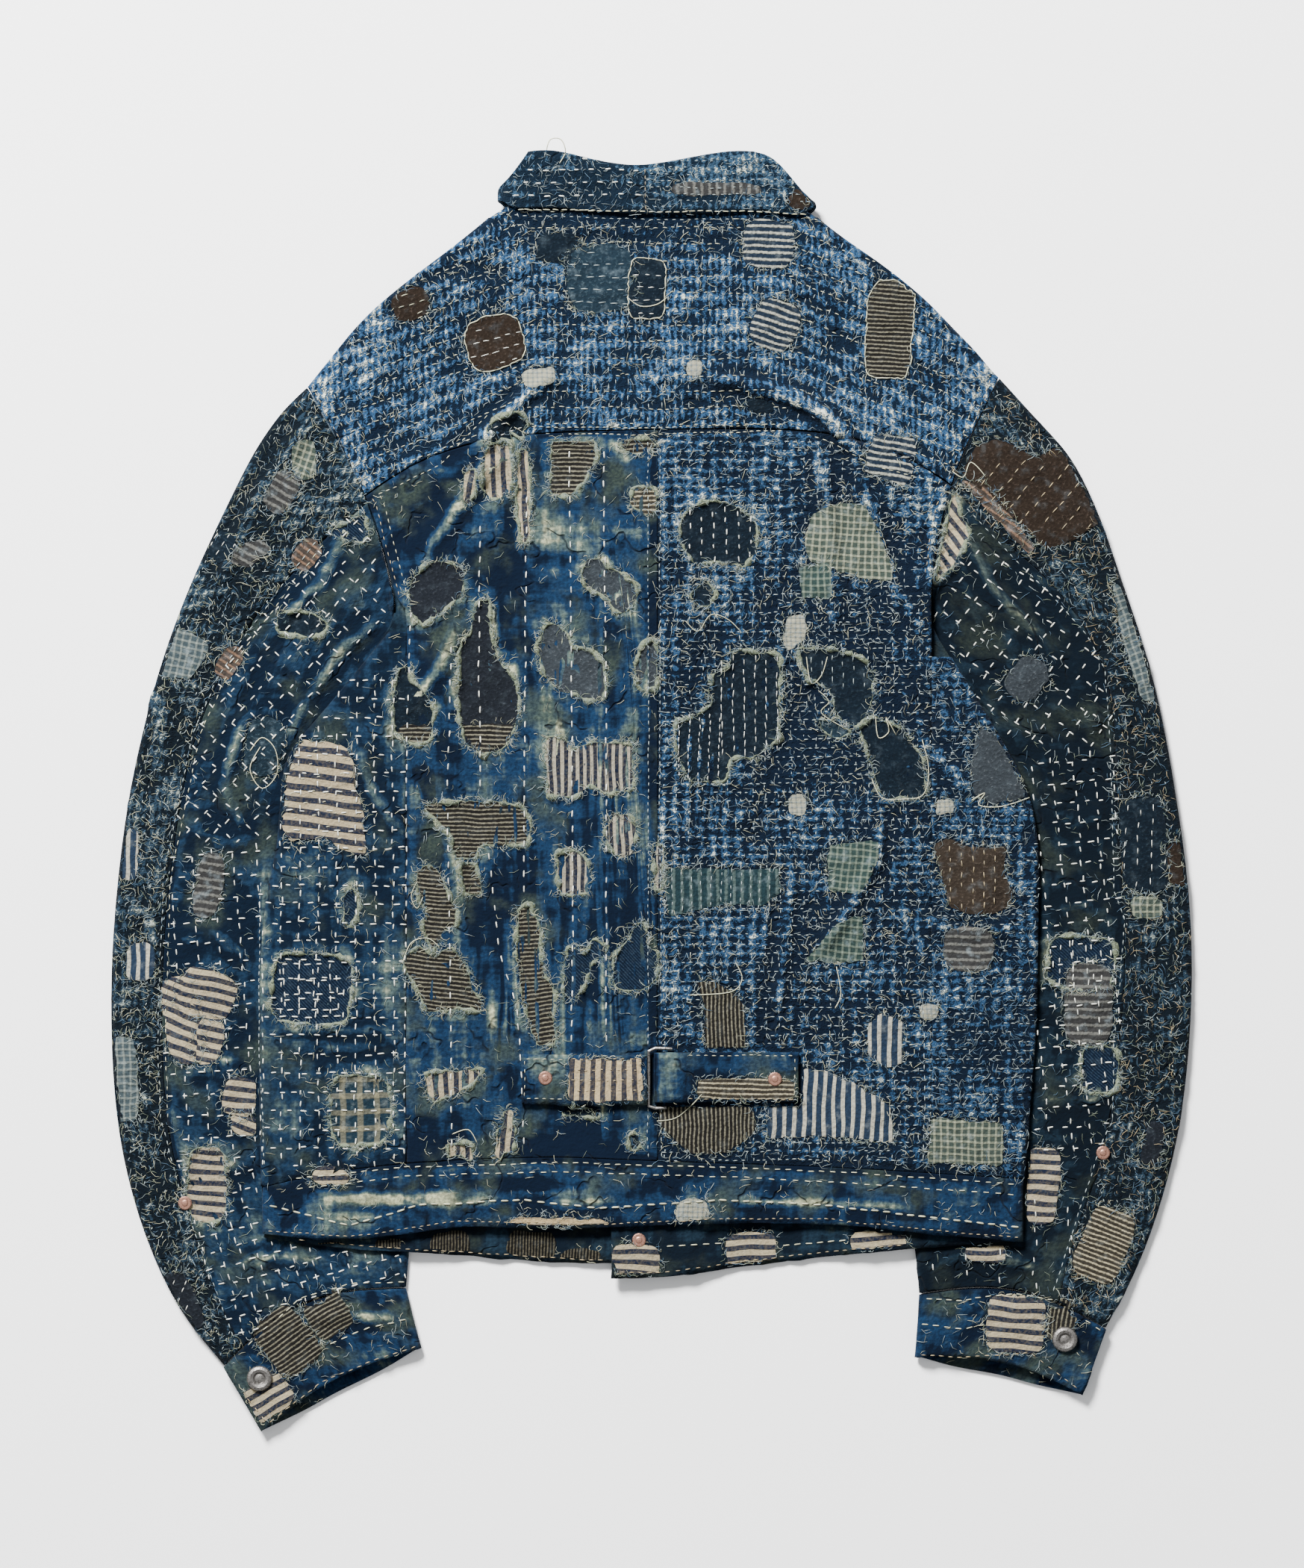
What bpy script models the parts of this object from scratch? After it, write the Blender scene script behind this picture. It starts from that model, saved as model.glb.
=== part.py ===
"""Patched boro jacket, laid out face down on a flat surface with its back up.

Sizes are in millimetres here and become metres as each mesh is made. +X is the wearer's right, +Y runs
from the hem to the collar, +Z is up, and z = 0 is the surface that the jacket lies on. Every panel is a
wall of cloth between an outer surface, read from the height functions below, and the same surface
moved in by the thickness of its cloth.
"""
import math

import bmesh
import bpy
from mathutils import Vector

MM = 0.001
CENTRE_SHIFT_Y = 2.9        # moves the drawing so that its box is centred on the origin

# Cloth thickness
BODY_WALL = 2.5
YOKE_WALL = 3.0
SLEEVE_WALL = 2.2
BAND_WALL = 2.8
COLLAR_WALL = 2.5
STRAP_WALL = 3.0

# Gaps between pieces
SEAM_GAP = 0.4
ARMHOLE_GAP = 0.7
HIDDEN_GAP = 1.2            # at the cuff seams and the front neckline, which are strongly curved
LAYER_GAP = 0.5
FOLD_CLEAR = 0.65           # from the middle height to the inner side of the cloth in a folded edge

# Heights of the upper layer over the floor
BACK_TOP = 8.0              # where the back lies on the fronts
PLACKET_RISE = 4.6          # more over the lapped fronts and their buttons
SIDE_RISE = 4.4             # more over the sleeves tucked under the sides
NECK_RISE = 3.0             # more over the collar's front wings
COLLAR_RISE = 0.7
SLEEVE_TOP = 8.2
TUCKED_TOP = 4.9            # a sleeve pressed flat under the body

# Heights of the lower layer over the floor
SIDE_LIFT = 5.4
WING_LIFT = 3.0
PLACKET_LIFT = 3.5
LAP_LIFT = 6.4

# Where each of those rises and lifts starts, and how long its ramp is
TUCK_X = {"left": -112.0, "right": 106.0}       # the body over the tucked sleeves
TUCK_Y = {"left": 128.0, "right": 142.0}
TUCK_RAMP_X = 28.0
TUCK_RAMP_Y = 17.0
PRESS_REACH = 38.0          # how far under the body a sleeve is pressed flat
PRESS_RAMP_X = 24.0
PRESS_Y = {"left": 121.0, "right": 137.0}
PRESS_RAMP_Y = 13.0
CUFF_RISE_Y = -334.0        # where a sleeve that was pressed flat has risen again
CUFF_RAMP = 22.0
WING_REACH = 78.0           # how far below the neckline the collar's wings reach
WING_RAMP = 24.0
PLACKET_LIFT_REACH = 40.0
PLACKET_LIFT_RAMP = 24.0
PLACKET_RISE_REACH = 62.0
PLACKET_RISE_RAMP = 38.0
PLACKET_TOP_Y = 346.0
PLACKET_TOP_RAMP = 25.0
LAP_START_X = 50.0
LAP_RAMP = 34.0
COLLAR_RISE_Y = 330.0
COLLAR_RISE_RAMP = 28.0
NECK_SEAM_Y = 372.0         # the soft folds fade out towards the collar and the hem
NECK_FADE = 20.0
HEM_FADE_Y = -300.0
HEM_FADE = 60.0

FOLD_RADIUS = 5.0           # how far in from a folded edge the cloth has reached its height
FOLD_STEPS = (0.0, 32.0, 62.0, 90.0)

PLACKET_X = -5.0            # the line of the front buttons
# The rows of a front that end on the armhole: share along it, share along the front edge, height share
ARMHOLE_ROWS = (
    (0.0, 0.60, 1.0), (0.06, 0.63, 0.0), (0.3, 0.72, 0.0), (0.55, 0.82, 0.0), (0.8, 0.92, 0.0),
    (1.0, 1.0, 0.0),
)
PLACKET_COLUMNS = (12.0, 24.0, 36.0, 49.0, 64.0)    # where a front's columns stand, from its edge
LEFT_FRONT_EDGE = 15.0      # the left front laps this far to the right
RIGHT_FRONT_EDGE = -26.0
CENTRE_SEAM_X = 3.3
LEFT_SIDE_SEAM_X = -156.5
RIGHT_SIDE_SEAM_X = 177.5
SIDE_PANEL_TOP = {"left": 98.0, "right": 82.0}

# The body's side folds, from the underarm to the hem: y, x
LEFT_SIDE = (
    (117, -156), (98, -168), (73, -188), (54, -204), (35, -220), (20, -234), (-10, -237), (-39, -238),
    (-60, -245), (-113, -250), (-213, -250), (-300, -247),
)
RIGHT_SIDE = (
    (134, 176), (118, 171), (95, 180), (80, 192), (58, 205), (31, 222), (0, 239), (-36, 247),
    (-76, 246), (-147, 245), (-213, 240), (-249, 236), (-300, 236),
)
SIDES = {"left": LEFT_SIDE, "right": RIGHT_SIDE}

# The shoulder folds, from the neck to the tip of the armhole: left x, right x, y
SHOULDERS = (
    (-88, 89, 371.5), (-104, 105, 362), (-119.5, 121, 349), (-138.5, 143, 334.5), (-158, 162, 320),
    (-175, 178, 306), (-189.5, 191, 292), (-201, 206, 277.5), (-211, 215.5, 265),
)

# The seam between the back and its waistband, and the band's lower edge: x, seam y, edge y
WAIST_BACK = (
    (-247, -255, -285), (-209, -246, -289), (-159, -240, -286), (-125, -238, -280), (-59, -236, -282),
    (41, -240, -278), (125, -243, -279), (175, -246, -285), (236, -250, -290),
)
# The front waistbands' lower edges: x, y
WAIST_FRONT_LEFT = ((-247, -287), (-226, -292), (-176, -296), (-125, -298), (-79, -303), (15, -305))
WAIST_FRONT_RIGHT = ((-26, -313), (7, -313), (51, -307), (109, -300), (160, -295), (236, -289))
WAIST_FRONT_SEAM_Y = -262.0

# Sleeves from the armhole to the cuff seam:
# outer fold x and y, inner fold x and y, how far the line between them bows up, and where the back
# seam crosses that line, as a share of it from the outer fold
SLEEVES = {
    "left": (
        (-220, 254, -164, 117, 8, 0.56), (-239, 235, -165, 104, 6, 0.53), (-258, 206, -166, 87, 4, 0.46),
        (-272, 177, -166, 70, 3, 0.40), (-286, 149, -165, 51, 2, 0.32), (-298, 120, -164, 32, 1, 0.28),
        (-309, 92, -163, 13, 0, 0.24), (-318, 63, -162, -6, 0, 0.21), (-325, 35, -161, -25, 0, 0.19),
        (-332, 6, -160, -46, 0, 0.19), (-339, -37, -159, -75, 0, 0.185), (-343, -80, -157, -106, 0, 0.175),
        (-346, -127, -156, -139, 0, 0.175), (-345, -180, -154, -175, 0, 0.17),
        (-341, -223, -153, -211, 1, 0.17), (-332, -265, -153, -244, 3, 0.18),
        (-316, -308, -153, -273, 7, 0.18), (-297, -344, -155, -296, 12, 0.16),
        (-273, -369, -157, -319, 17, 0.12),
    ),
    "right": (
        (221, 260, 178, 132, 7, 0.57), (244, 235, 178, 118, 5, 0.53), (270, 206, 177, 101, 3, 0.49),
        (284, 177, 176, 82, 2, 0.38), (293, 149, 175, 61, 1, 0.29), (303, 120, 173, 39, 0, 0.21),
        (313, 92, 171, 18, 0, 0.175), (321, 63, 170, -4, 0, 0.18), (327, 35, 168, -25, 0, 0.20),
        (332, 6, 165, -46, 0, 0.22), (339, -37, 162, -77, 0, 0.24), (344, -80, 160, -108, 0, 0.225),
        (345, -127, 158, -142, 0, 0.235), (342, -180, 157, -177, 0, 0.25),
        (336, -223, 159, -213, 1, 0.25), (326, -265, 161, -249, 3, 0.28),
        (311, -304, 165, -280, 6, 0.31), (300, -327, 169, -304, 10, 0.30),
        (289, -345, 170, -323, 14, 0.27),
    ),
}
# The cuffs' lower edges: outer end x and y, inner fold x and y, bow
CUFF_EDGES = {"left": (-249, -411, -147, -358, 8), "right": (274, -388, 167, -364, 10)}
CUFF_UNDERLAP = 9.0         # the lower layer of a cuff reaches this far beyond the upper one
UNDERARM_PARTING = 0.16     # how much more a sleeve's two pieces part at the underarm, as a height share
NEARLY_FLAT = 0.02          # the least height share that still says which layer a point is on
YOKE_SHARE = {"left": 0.53, "right": 0.555}     # where the yoke seam meets each armhole
YOKE_BEND = 39.0
YOKE_GAP = 0.9
YOKE_CORNER = 4             # how square the yoke seam's two bends are

# The collar, from its left front end round the back of the neck to its right front end:
# x, seam y, fold y, the fall's edge y, and which way its outer side faces, in degrees from +X up
COLLAR = (
    (-10, 302, 326, 268, -90), (-30, 312, 336, 276, -90), (-52, 327, 348, 292, -90),
    (-72, 344, 360, 314, -90), (-85, 357, 370, 338, -90), (-90, 366, 378, 356, -90),
    (-91.6, 369, 379, 369.5, -115), (-91.6, 371, 380, 371.5, -150), (-91.6, 372, 381, 372.5, -180),
    (-91.6, 372, 382, 372.5, -215), (-91, 372, 385, 371, -245), (-88, 372, 391, 367, -270),
    (-79, 372, 403.5, 367.5, -270), (-64, 372, 405.5, 368, -270), (-37, 372, 398, 365.5, -270),
    (-18, 372, 395, 364, -270), (-3, 372, 394.5, 363.6, -270), (25, 372, 400, 363.6, -270),
    (50, 372, 404.5, 364.5, -270), (70, 372, 403.6, 365.5, -270), (79, 372, 398, 364.5, -270),
    (87, 372, 389, 363.5, -270), (95, 371, 379, 363, -270), (97.6, 370, 374, 366, -295),
    (97.6, 369, 372.5, 369.5, -325), (97.6, 368, 372, 368.5, -360), (97.6, 366, 371, 366.5, -395),
    (97.6, 364, 371, 364.5, -425), (96, 360, 370, 350, -450), (90, 355, 366, 338, -450),
    (76, 342, 358, 316, -450), (56, 327, 347, 294, -450), (34, 312, 336, 276, -450),
    (12, 302, 326, 268, -450), (0, 300, 324, 266, -450),
)
COLLAR_RING_Z = 7.35        # the middle of the ring that the stand makes round the neck
COLLAR_RING_RADIUS = 3.1

# Soft folds that stand up from the back: start x and y, end x and y, height, half width
FOLDS = (
    (-52, 266, -82, 250, 4.0, 12), (-82, 250, -116, 212, 5.5, 13), (-116, 212, -160, 192, 3.0, 11),
    (28, 262, 87, 248, 4.5, 13), (87, 248, 116, 230, 6.0, 14), (116, 230, 134, 200, 4.0, 12),
    (104, 222, 112, 92, 4.0, 11), (145, -10, 129, -72, 3.5, 10), (129, -72, 102, -114, 3.5, 10),
    (82, -48, 71, -150, 3.0, 10), (-203, 22, -200, -50, 4.0, 12), (-128, 205, -128, 60, 2.5, 12),
    (-228, -120, -215, -220, 2.5, 12), (214, -40, 205, -200, 3.0, 13), (-70, 355, -60, 310, 1.5, 12),
    (68, 352, 84, 300, 2.0, 12), (-178, 268, -205, 240, 2.5, 11), (176, 276, 204, 244, 3.0, 12),
)
# The same on the sleeves
SLEEVE_FOLDS = (
    (-212, 205, -268, 120, 3.5, 12), (-188, 140, -232, 62, 3.5, 12), (-252, 40, -300, -10, 3.0, 11),
    (-262, -60, -300, -130, 3.0, 12), (-270, -170, -318, -215, 2.5, 11), (-200, -310, -262, -332, 3.0, 11),
    (214, 214, 262, 150, 3.5, 12), (196, 140, 250, 74, 3.5, 12), (262, 60, 300, -4, 3.0, 11),
    (268, -40, 296, -130, 3.0, 12), (270, -160, 306, -220, 2.5, 11), (206, -300, 262, -322, 3.0, 11),
)

# The back cinch: corners of each strap, left to right at the top and the bottom
STRAP_LEFT = {"left": -83.0, "right": -3.5, "top": -171.0, "bottom": -202.5}
STRAP_RIGHT = {"left": 20.5, "right": 93.0, "top": -169.5, "bottom": -201.0}
STRAP_LIFT = 0.9
# The buckle's wire, from the loop's upper side round to its lower one: x, y, height over its base
BUCKLE = (
    (12.5, -167.2, 0.6), (8.0, -166.8, 0.8), (2.0, -166.6, 0.6), (-2.2, -168.5, 0.2), (-2.2, -176.0, 0.0),
    (-2.2, -190.0, 0.0), (-2.2, -203.5, 0.0), (2.0, -204.8, 0.0), (9.0, -204.4, 0.0),
)
BUCKLE_WIRE = 1.1           # the wire's radius
LOOP_LEFT = 1.0             # where the right strap's folded loop ends
LOOP_RISE = 3.4
CINCH_RIVETS = {"left": (-68.0, -185.7), "right": (78.0, -186.4)}
SLEEVE_RIVETS = {"left": (-297.5, -265.5), "right": (287.0, -233.5)}
CUFF_BUTTONS = {"left": (-250.0, -376.9), "right": (262.5, -352.0)}
FRONT_BUTTON_YS = (250.0, 148.0, 46.0, -56.0, -158.0)
WAIST_BUTTON = (-8.5, -289.0)
RIVET_RADIUS = 4.4
BUTTON_RADIUS = 8.1
BUTTON_HEIGHT = 3.6
FRONT_BUTTON_HEIGHT = 3.1


# Reading tables

def smooth(share):
    """A soft step from 0 to 1 as the share goes from 0 to 1."""
    share = min(max(share, 0.0), 1.0)
    return share * share * (3.0 - 2.0 * share)


def lookup(rows, key, value, at):
    """A column of a table, read where another column has the value at."""
    ordered = sorted(rows, key=lambda row: row[key])
    if at <= ordered[0][key]:
        return ordered[0][value]
    for low, high in zip(ordered, ordered[1:]):
        if at <= high[key]:
            share = (at - low[key]) / (high[key] - low[key])
            return low[value] + (high[value] - low[value]) * share
    return ordered[-1][value]


def station(rows, place):
    """A row of a table read between its rows, on a smooth curve. Place is a row number."""
    index = min(int(place), len(rows) - 2)
    share = place - index
    before = rows[max(index - 1, 0)]
    low = rows[index]
    high = rows[index + 1]
    after = rows[min(index + 2, len(rows) - 1)]
    values = []
    for a, b, c, d in zip(before, low, high, after):
        slope = (c - a) / 2.0
        next_slope = (d - b) / 2.0
        cube = share ** 3
        square = share ** 2
        values.append(
            b * (2 * cube - 3 * square + 1) + slope * (cube - 2 * square + share)
            + c * (3 * square - 2 * cube) + next_slope * (cube - square)
        )
    return values


def even(start, end, count):
    """Evenly spaced values from start to end, both included."""
    return [start + (end - start) * i / count for i in range(count + 1)]


# Lines that panels share

def front_neck_y(x):
    """The front neckline, lowest at the button line."""
    return 300.0 + 66.0 * min(abs(x - 1.0) / 97.0, 1.0) ** 1.5


def yoke_line(x):
    """The straight line between the yoke seam's two ends, and the share of the way along it at x."""
    left = armhole("left", YOKE_SHARE["left"])
    right = armhole("right", YOKE_SHARE["right"])
    share = (x - left[0]) / (right[0] - left[0])
    return left[1] + (right[1] - left[1]) * share, share


def yoke_bend(x):
    """How far the yoke seam lies above the line between its two ends."""
    share = min(max(yoke_line(x)[1], 0.0), 1.0)
    return YOKE_BEND * (1.0 - abs(2.0 * share - 1.0) ** YOKE_CORNER)


def yoke_seam_y(x):
    """The yoke's lower seam, level over most of the back and lower at the armholes."""
    return yoke_line(x)[0] + yoke_bend(x)


def armhole(side, share, inward=0.0):
    """A point on the armhole seam, from the shoulder to the underarm, moved towards the body."""
    outer_x, outer_y, inner_x, inner_y, bow = SLEEVES[side][0][:5]
    return bowed((outer_x, outer_y), (inner_x, inner_y), bow, share, side, inward)


def bowed(outer, inner, bow, share, side, inward=0.0):
    """A point between two others on a line that bows to its side by bow, moved on by inward."""
    dx = inner[0] - outer[0]
    dy = inner[1] - outer[1]
    length = math.hypot(dx, dy)
    turn = 1.0 if side == "left" else -1.0
    lift = (bow * math.sin(math.pi * min(max(share, 0.0), 1.0)) + inward) / length * turn
    return outer[0] + dx * share - dy * lift, outer[1] + dy * share + dx * lift


def side_x(side, y):
    return lookup(SIDES[side], 0, 1, y)


# Heights of the outer surfaces over the floor

def fold_height(x, y, folds):
    """The tallest of the soft folds at a point."""
    height = 0.0
    for x0, y0, x1, y1, rise, half_width in folds:
        dx, dy = x1 - x0, y1 - y0
        share = ((x - x0) * dx + (y - y0) * dy) / (dx * dx + dy * dy)
        near = min(max(share, 0.0), 1.0)
        away = math.hypot(x - x0 - dx * near, y - y0 - dy * near)
        height = max(height, rise * math.exp(-((away / half_width) ** 2)))
    return height


def over_sleeves(x, y):
    """1 where the body lies on a tucked sleeve, 0 where it lies on the floor."""
    left = smooth((TUCK_X["left"] - x) / TUCK_RAMP_X) * smooth((TUCK_Y["left"] - y) / TUCK_RAMP_Y)
    right = smooth((x - TUCK_X["right"]) / TUCK_RAMP_X) * smooth((TUCK_Y["right"] - y) / TUCK_RAMP_Y)
    return max(left, right)


def over_wings(x, y):
    """1 where the fronts lie on the collar's wings."""
    return smooth((y - front_neck_y(x) + WING_REACH) / WING_RAMP)


def by_placket(x, reach, ramp):
    return smooth((reach - abs(x - PLACKET_X)) / ramp)


def front_under(x, y):
    """The outer surface of the fronts, which faces the floor."""
    placket = PLACKET_LIFT * by_placket(x, PLACKET_LIFT_REACH, PLACKET_LIFT_RAMP)
    return max(SIDE_LIFT * over_sleeves(x, y), WING_LIFT * over_wings(x, y), placket)


def front_right_under(x, y):
    """The right front, which lies on the left one where they lap."""
    return max(front_under(x, y), LAP_LIFT * smooth((LAP_START_X - x) / LAP_RAMP))


def back_top(x, y):
    """The outer surface of the back, which faces up."""
    placket = PLACKET_RISE * by_placket(x, PLACKET_RISE_REACH, PLACKET_RISE_RAMP)
    placket *= smooth((PLACKET_TOP_Y - y) / PLACKET_TOP_RAMP)
    neck = NECK_RISE * over_wings(x, y)
    base = BACK_TOP + max(placket, neck) + SIDE_RISE * over_sleeves(x, y)
    base += COLLAR_RISE * smooth((y - COLLAR_RISE_Y) / COLLAR_RISE_RAMP)
    fade = smooth((NECK_SEAM_Y - y) / NECK_FADE) * smooth((y - HEM_FADE_Y) / HEM_FADE)
    return base + fade * fold_height(x, y, FOLDS)


def sleeve_top(x, y, side):
    """A sleeve's upper surface, pressed flat where the body lies on it."""
    inside = x - side_x(side, y) if side == "left" else side_x(side, y) - x
    under = smooth((inside + PRESS_REACH) / PRESS_RAMP_X) * smooth((PRESS_Y[side] - y) / PRESS_RAMP_Y)
    under *= smooth((y - CUFF_RISE_Y) / CUFF_RAMP)
    crown = SLEEVE_TOP + fold_height(x, y, SLEEVE_FOLDS)
    return crown + (TUCKED_TOP - crown) * under


# Building meshes

def make_material(name, colour, roughness, metallic=0.0):
    material = bpy.data.materials.new(name)
    material.use_nodes = True
    shader = material.node_tree.nodes["Principled BSDF"]
    shader.inputs["Base Color"].default_value = (*colour, 1.0)
    shader.inputs["Roughness"].default_value = roughness
    shader.inputs["Metallic"].default_value = metallic
    return material


def add_object(name, points, faces, material):
    mesh = bpy.data.meshes.new(name)
    mesh.from_pydata([(x * MM, (y + CENTRE_SHIFT_Y) * MM, z * MM) for x, y, z in points], [], faces)
    build = bmesh.new()
    build.from_mesh(mesh)
    bmesh.ops.recalc_face_normals(build, faces=build.faces)
    build.to_mesh(mesh)
    build.free()
    mesh.materials.append(material)
    bpy.context.scene.collection.objects.link(bpy.data.objects.new(name, mesh))


def wall_between(name, outer, inner, material):
    """A closed wall of cloth between two grids of points with the same rows and columns."""
    rows = len(outer)
    columns = len(outer[0])
    points = [point for row in outer for point in row] + [point for row in inner for point in row]
    under = rows * columns
    faces = []
    for i in range(rows - 1):
        for j in range(columns - 1):
            a = i * columns + j
            faces.append((a, a + 1, a + columns + 1, a + columns))
            faces.append((under + a, under + a + columns, under + a + columns + 1, under + a + 1))
    rim = list(range(columns))
    rim += [i * columns + columns - 1 for i in range(1, rows)]
    rim += [(rows - 1) * columns + j for j in range(columns - 2, -1, -1)]
    rim += [i * columns for i in range(rows - 2, 0, -1)]
    for a, b in zip(rim, rim[1:] + rim[:1]):
        faces.append((a, under + a, under + b, b))
    add_object(name, points, faces, material)


def surface_normal(surface, x, y, upper):
    """The outward direction of a height function at a point."""
    step = 2.0
    slope_x = (surface(x + step, y) - surface(x - step, y)) / (2.0 * step)
    slope_y = (surface(x, y + step) - surface(x, y - step)) / (2.0 * step)
    normal = Vector((-slope_x, -slope_y, 1.0)).normalized()
    return normal if upper else -normal


def edge_normal(away, lift, height, upper):
    """The outward direction in a folded edge, whose section is a quarter of an ellipse. Away points
    across the fold, lift is the share of the height reached there, and height the whole of it."""
    across = math.sqrt(max(1.0 - lift * lift, 0.0)) / FOLD_RADIUS
    up = lift / max(abs(height), FOLD_CLEAR)
    return (away * across + Vector((0.0, 0.0, up if upper else -up))).normalized()


def inner_grid(outer, facing, level, middle, wall):
    """The outer grid moved in by the wall. Facing gives each point's outward direction, and level says
    where it is: 2 where the cloth lies flat, 1 where it stands upright at the end of a fold and 0
    between. Middle gives each row's height halfway between the two layers, which the wall clears."""
    grid = []
    for outer_row, facing_row, level_row, halfway in zip(outer, facing, level, middle):
        line = []
        for spot, direction, kind in zip(outer_row, facing_row, level_row):
            normal = Vector((direction.x, direction.y, 0.0)).normalized() if kind == 1 else direction
            point = Vector(spot) - normal * wall
            if kind < 2:
                clear = halfway(point.x, point.y) + math.copysign(FOLD_CLEAR, direction.z)
                point.z = max(point.z, clear) if direction.z > 0.0 else min(point.z, clear)
            line.append(tuple(point))
        grid.append(line)
    return grid


def fold_distances(radius):
    """How far in the columns of a folded edge stand, and how much of the height each has."""
    distances = [radius * (1.0 - math.cos(math.radians(angle))) for angle in FOLD_STEPS]
    lifts = [math.sin(math.radians(angle)) for angle in FOLD_STEPS]
    return distances, lifts


def across_panel(left, right, count, folded_left, folded_right, near_left=(), near_right=()):
    """One row of a panel from left to right: share of the way, and height share at folded edges."""
    width = math.hypot(right[0] - left[0], right[1] - left[1])
    radius = min(FOLD_RADIUS, 0.42 * width)
    distances, lifts = fold_distances(radius)
    start = [(0.0, 1.0)]
    end = [(1.0, 1.0)]
    if folded_left is not None:
        start = [(d / width, 1.0 - folded_left * (1.0 - h)) for d, h in zip(distances, lifts)]
    if folded_right is not None:
        end = [(1.0 - d / width, 1.0 - folded_right * (1.0 - h)) for d, h in zip(distances, lifts)]
        end.reverse()
    start += [(d / width, 1.0) for d in near_left]
    end = [(1.0 - d / width, 1.0) for d in reversed(near_right)] + end
    middle = even(start[-1][0], end[0][0], count)[1:-1]
    return start + [(share, 1.0) for share in middle] + end


def make_panel(name, rows, upper, surface, other, wall, material):
    """A panel of the upper or lower layer. Each row is a list of x, y and height share; surface and
    other give the heights of its own outer surface and of the opposite layer's."""
    outer = []
    facing = []
    level = []

    def halfway(x, y):
        return (surface(x, y) + other(x, y)) / 2.0

    for row in rows:
        line = []
        for x, y, lift in row:
            own = surface(x, y)
            middle = halfway(x, y) + (SEAM_GAP / 2.0 if upper else -SEAM_GAP / 2.0)
            line.append((x, y, middle + (own - middle) * lift))
        outer.append(line)
        facing.append([surface_normal(surface, x, y, upper) for x, y, lift in row])
        level.append([1 if lift == 0.0 else 2 if lift == 1.0 else 0 for x, y, lift in row])
    for i, row in enumerate(rows):
        for j, (x, y, lift) in enumerate(row):
            if lift < 1.0:
                neighbour = row[j + 1] if j < len(row) // 2 else row[j - 1]
                away = Vector((x - neighbour[0], y - neighbour[1], 0.0)).normalized()
                height = surface(x, y) - halfway(x, y)
                facing[i][j] = edge_normal(away, max(lift, NEARLY_FLAT), height, upper)
    wall_between(name, outer, inner_grid(outer, facing, level, [halfway] * len(rows), wall), material)


def row_between(left, right, columns, rise):
    """Points of a row on the chord from left to right, raised by rise(x) there."""
    line = []
    for share, lift in columns:
        x = left[0] + (right[0] - left[0]) * share
        y = left[1] + (right[1] - left[1]) * share
        line.append((x, y + rise(x), lift))
    return line


# Body panels

def make_yoke(material):
    rows = []
    gap = YOKE_GAP / 2.0
    for left_x, right_x, y in SHOULDERS:
        columns = across_panel((left_x, y), (right_x, y), 18, 1.0, 1.0)
        rows.append(row_between((left_x, y), (right_x, y), columns, lambda x: 0.0))
    for share, folded, bend in ((0.0, 1.0, 0.05), (0.05, 0.0, 0.2), (0.2, 0.0, 0.45), (0.36, 0.0, 0.72)):
        left = armhole("left", share, ARMHOLE_GAP / 2.0)
        right = armhole("right", share * YOKE_SHARE["right"] / YOKE_SHARE["left"], ARMHOLE_GAP / 2.0)
        columns = across_panel(left, right, 18, folded, folded)
        rows.append(row_between(left, right, columns, lambda x, b=bend: b * yoke_bend(x)))
    left = armhole("left", YOKE_SHARE["left"], ARMHOLE_GAP / 2.0)
    right = armhole("right", YOKE_SHARE["right"], ARMHOLE_GAP / 2.0)
    columns = across_panel(left, right, 18, 0.0, 0.0)
    last = row_between(left, right, columns, lambda x: 0.0)
    rows.append([(x, yoke_seam_y(x) + gap, lift) for x, y, lift in last])
    make_panel("yoke", rows, True, back_top, front_under, YOKE_WALL, material)


def make_back(side, material):
    """A back panel from the yoke seam to the waistband, between its side seam and the centre seam."""
    gap = SEAM_GAP / 2.0
    left_hand = side == "left"
    centre = CENTRE_SEAM_X - gap if left_hand else CENTRE_SEAM_X + gap
    seam = LEFT_SIDE_SEAM_X + gap if left_hand else RIGHT_SIDE_SEAM_X - gap
    underarm_y = SLEEVES[side][0][3]
    # The outer end of each row, the height of its centre end, and how much of the yoke seam's bend it has
    bands = [
        (armhole(side, YOKE_SHARE[side], ARMHOLE_GAP / 2.0), yoke_seam_y(centre), 1.0),
        (armhole(side, 0.68, ARMHOLE_GAP / 2.0), 200.0, 0.75),
        (armhole(side, 0.84, ARMHOLE_GAP / 2.0), 175.0, 0.5),
        (armhole(side, 1.0, ARMHOLE_GAP / 2.0), 150.0, 0.3),
        ((seam, underarm_y - 6.0), 132.0, 0.15),
    ]
    for y in even(underarm_y - 24.0, -222.0, 13):
        bands.append(((seam, y), y + 18.0 * smooth((y + 20.0) / 120.0), 0.0))
    rows = []
    for outer, centre_y, bend in bands:
        if left_hand:
            left, right = outer, (centre, centre_y)
        else:
            left, right = (centre, centre_y), outer
        columns = across_panel(left, right, 8, None, None)
        rows.append(row_between(left, right, columns, lambda x, b=bend: b * bulge(side, x)))
    rows[0] = [(x, yoke_seam_y(x) - YOKE_GAP / 2.0, lift) for x, y, lift in rows[0]]
    bottom_left = (seam if left_hand else centre, 0.0)
    bottom_right = (centre if left_hand else seam, 0.0)
    columns = across_panel(bottom_left, bottom_right, 8, None, None)
    last = row_between(bottom_left, bottom_right, columns, lambda x: 0.0)
    rows.append([(x, lookup(WAIST_BACK, 0, 1, x) + gap, lift) for x, y, lift in last])
    make_panel("back_" + side, rows, True, back_top, under_of(side), BODY_WALL, material)


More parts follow.
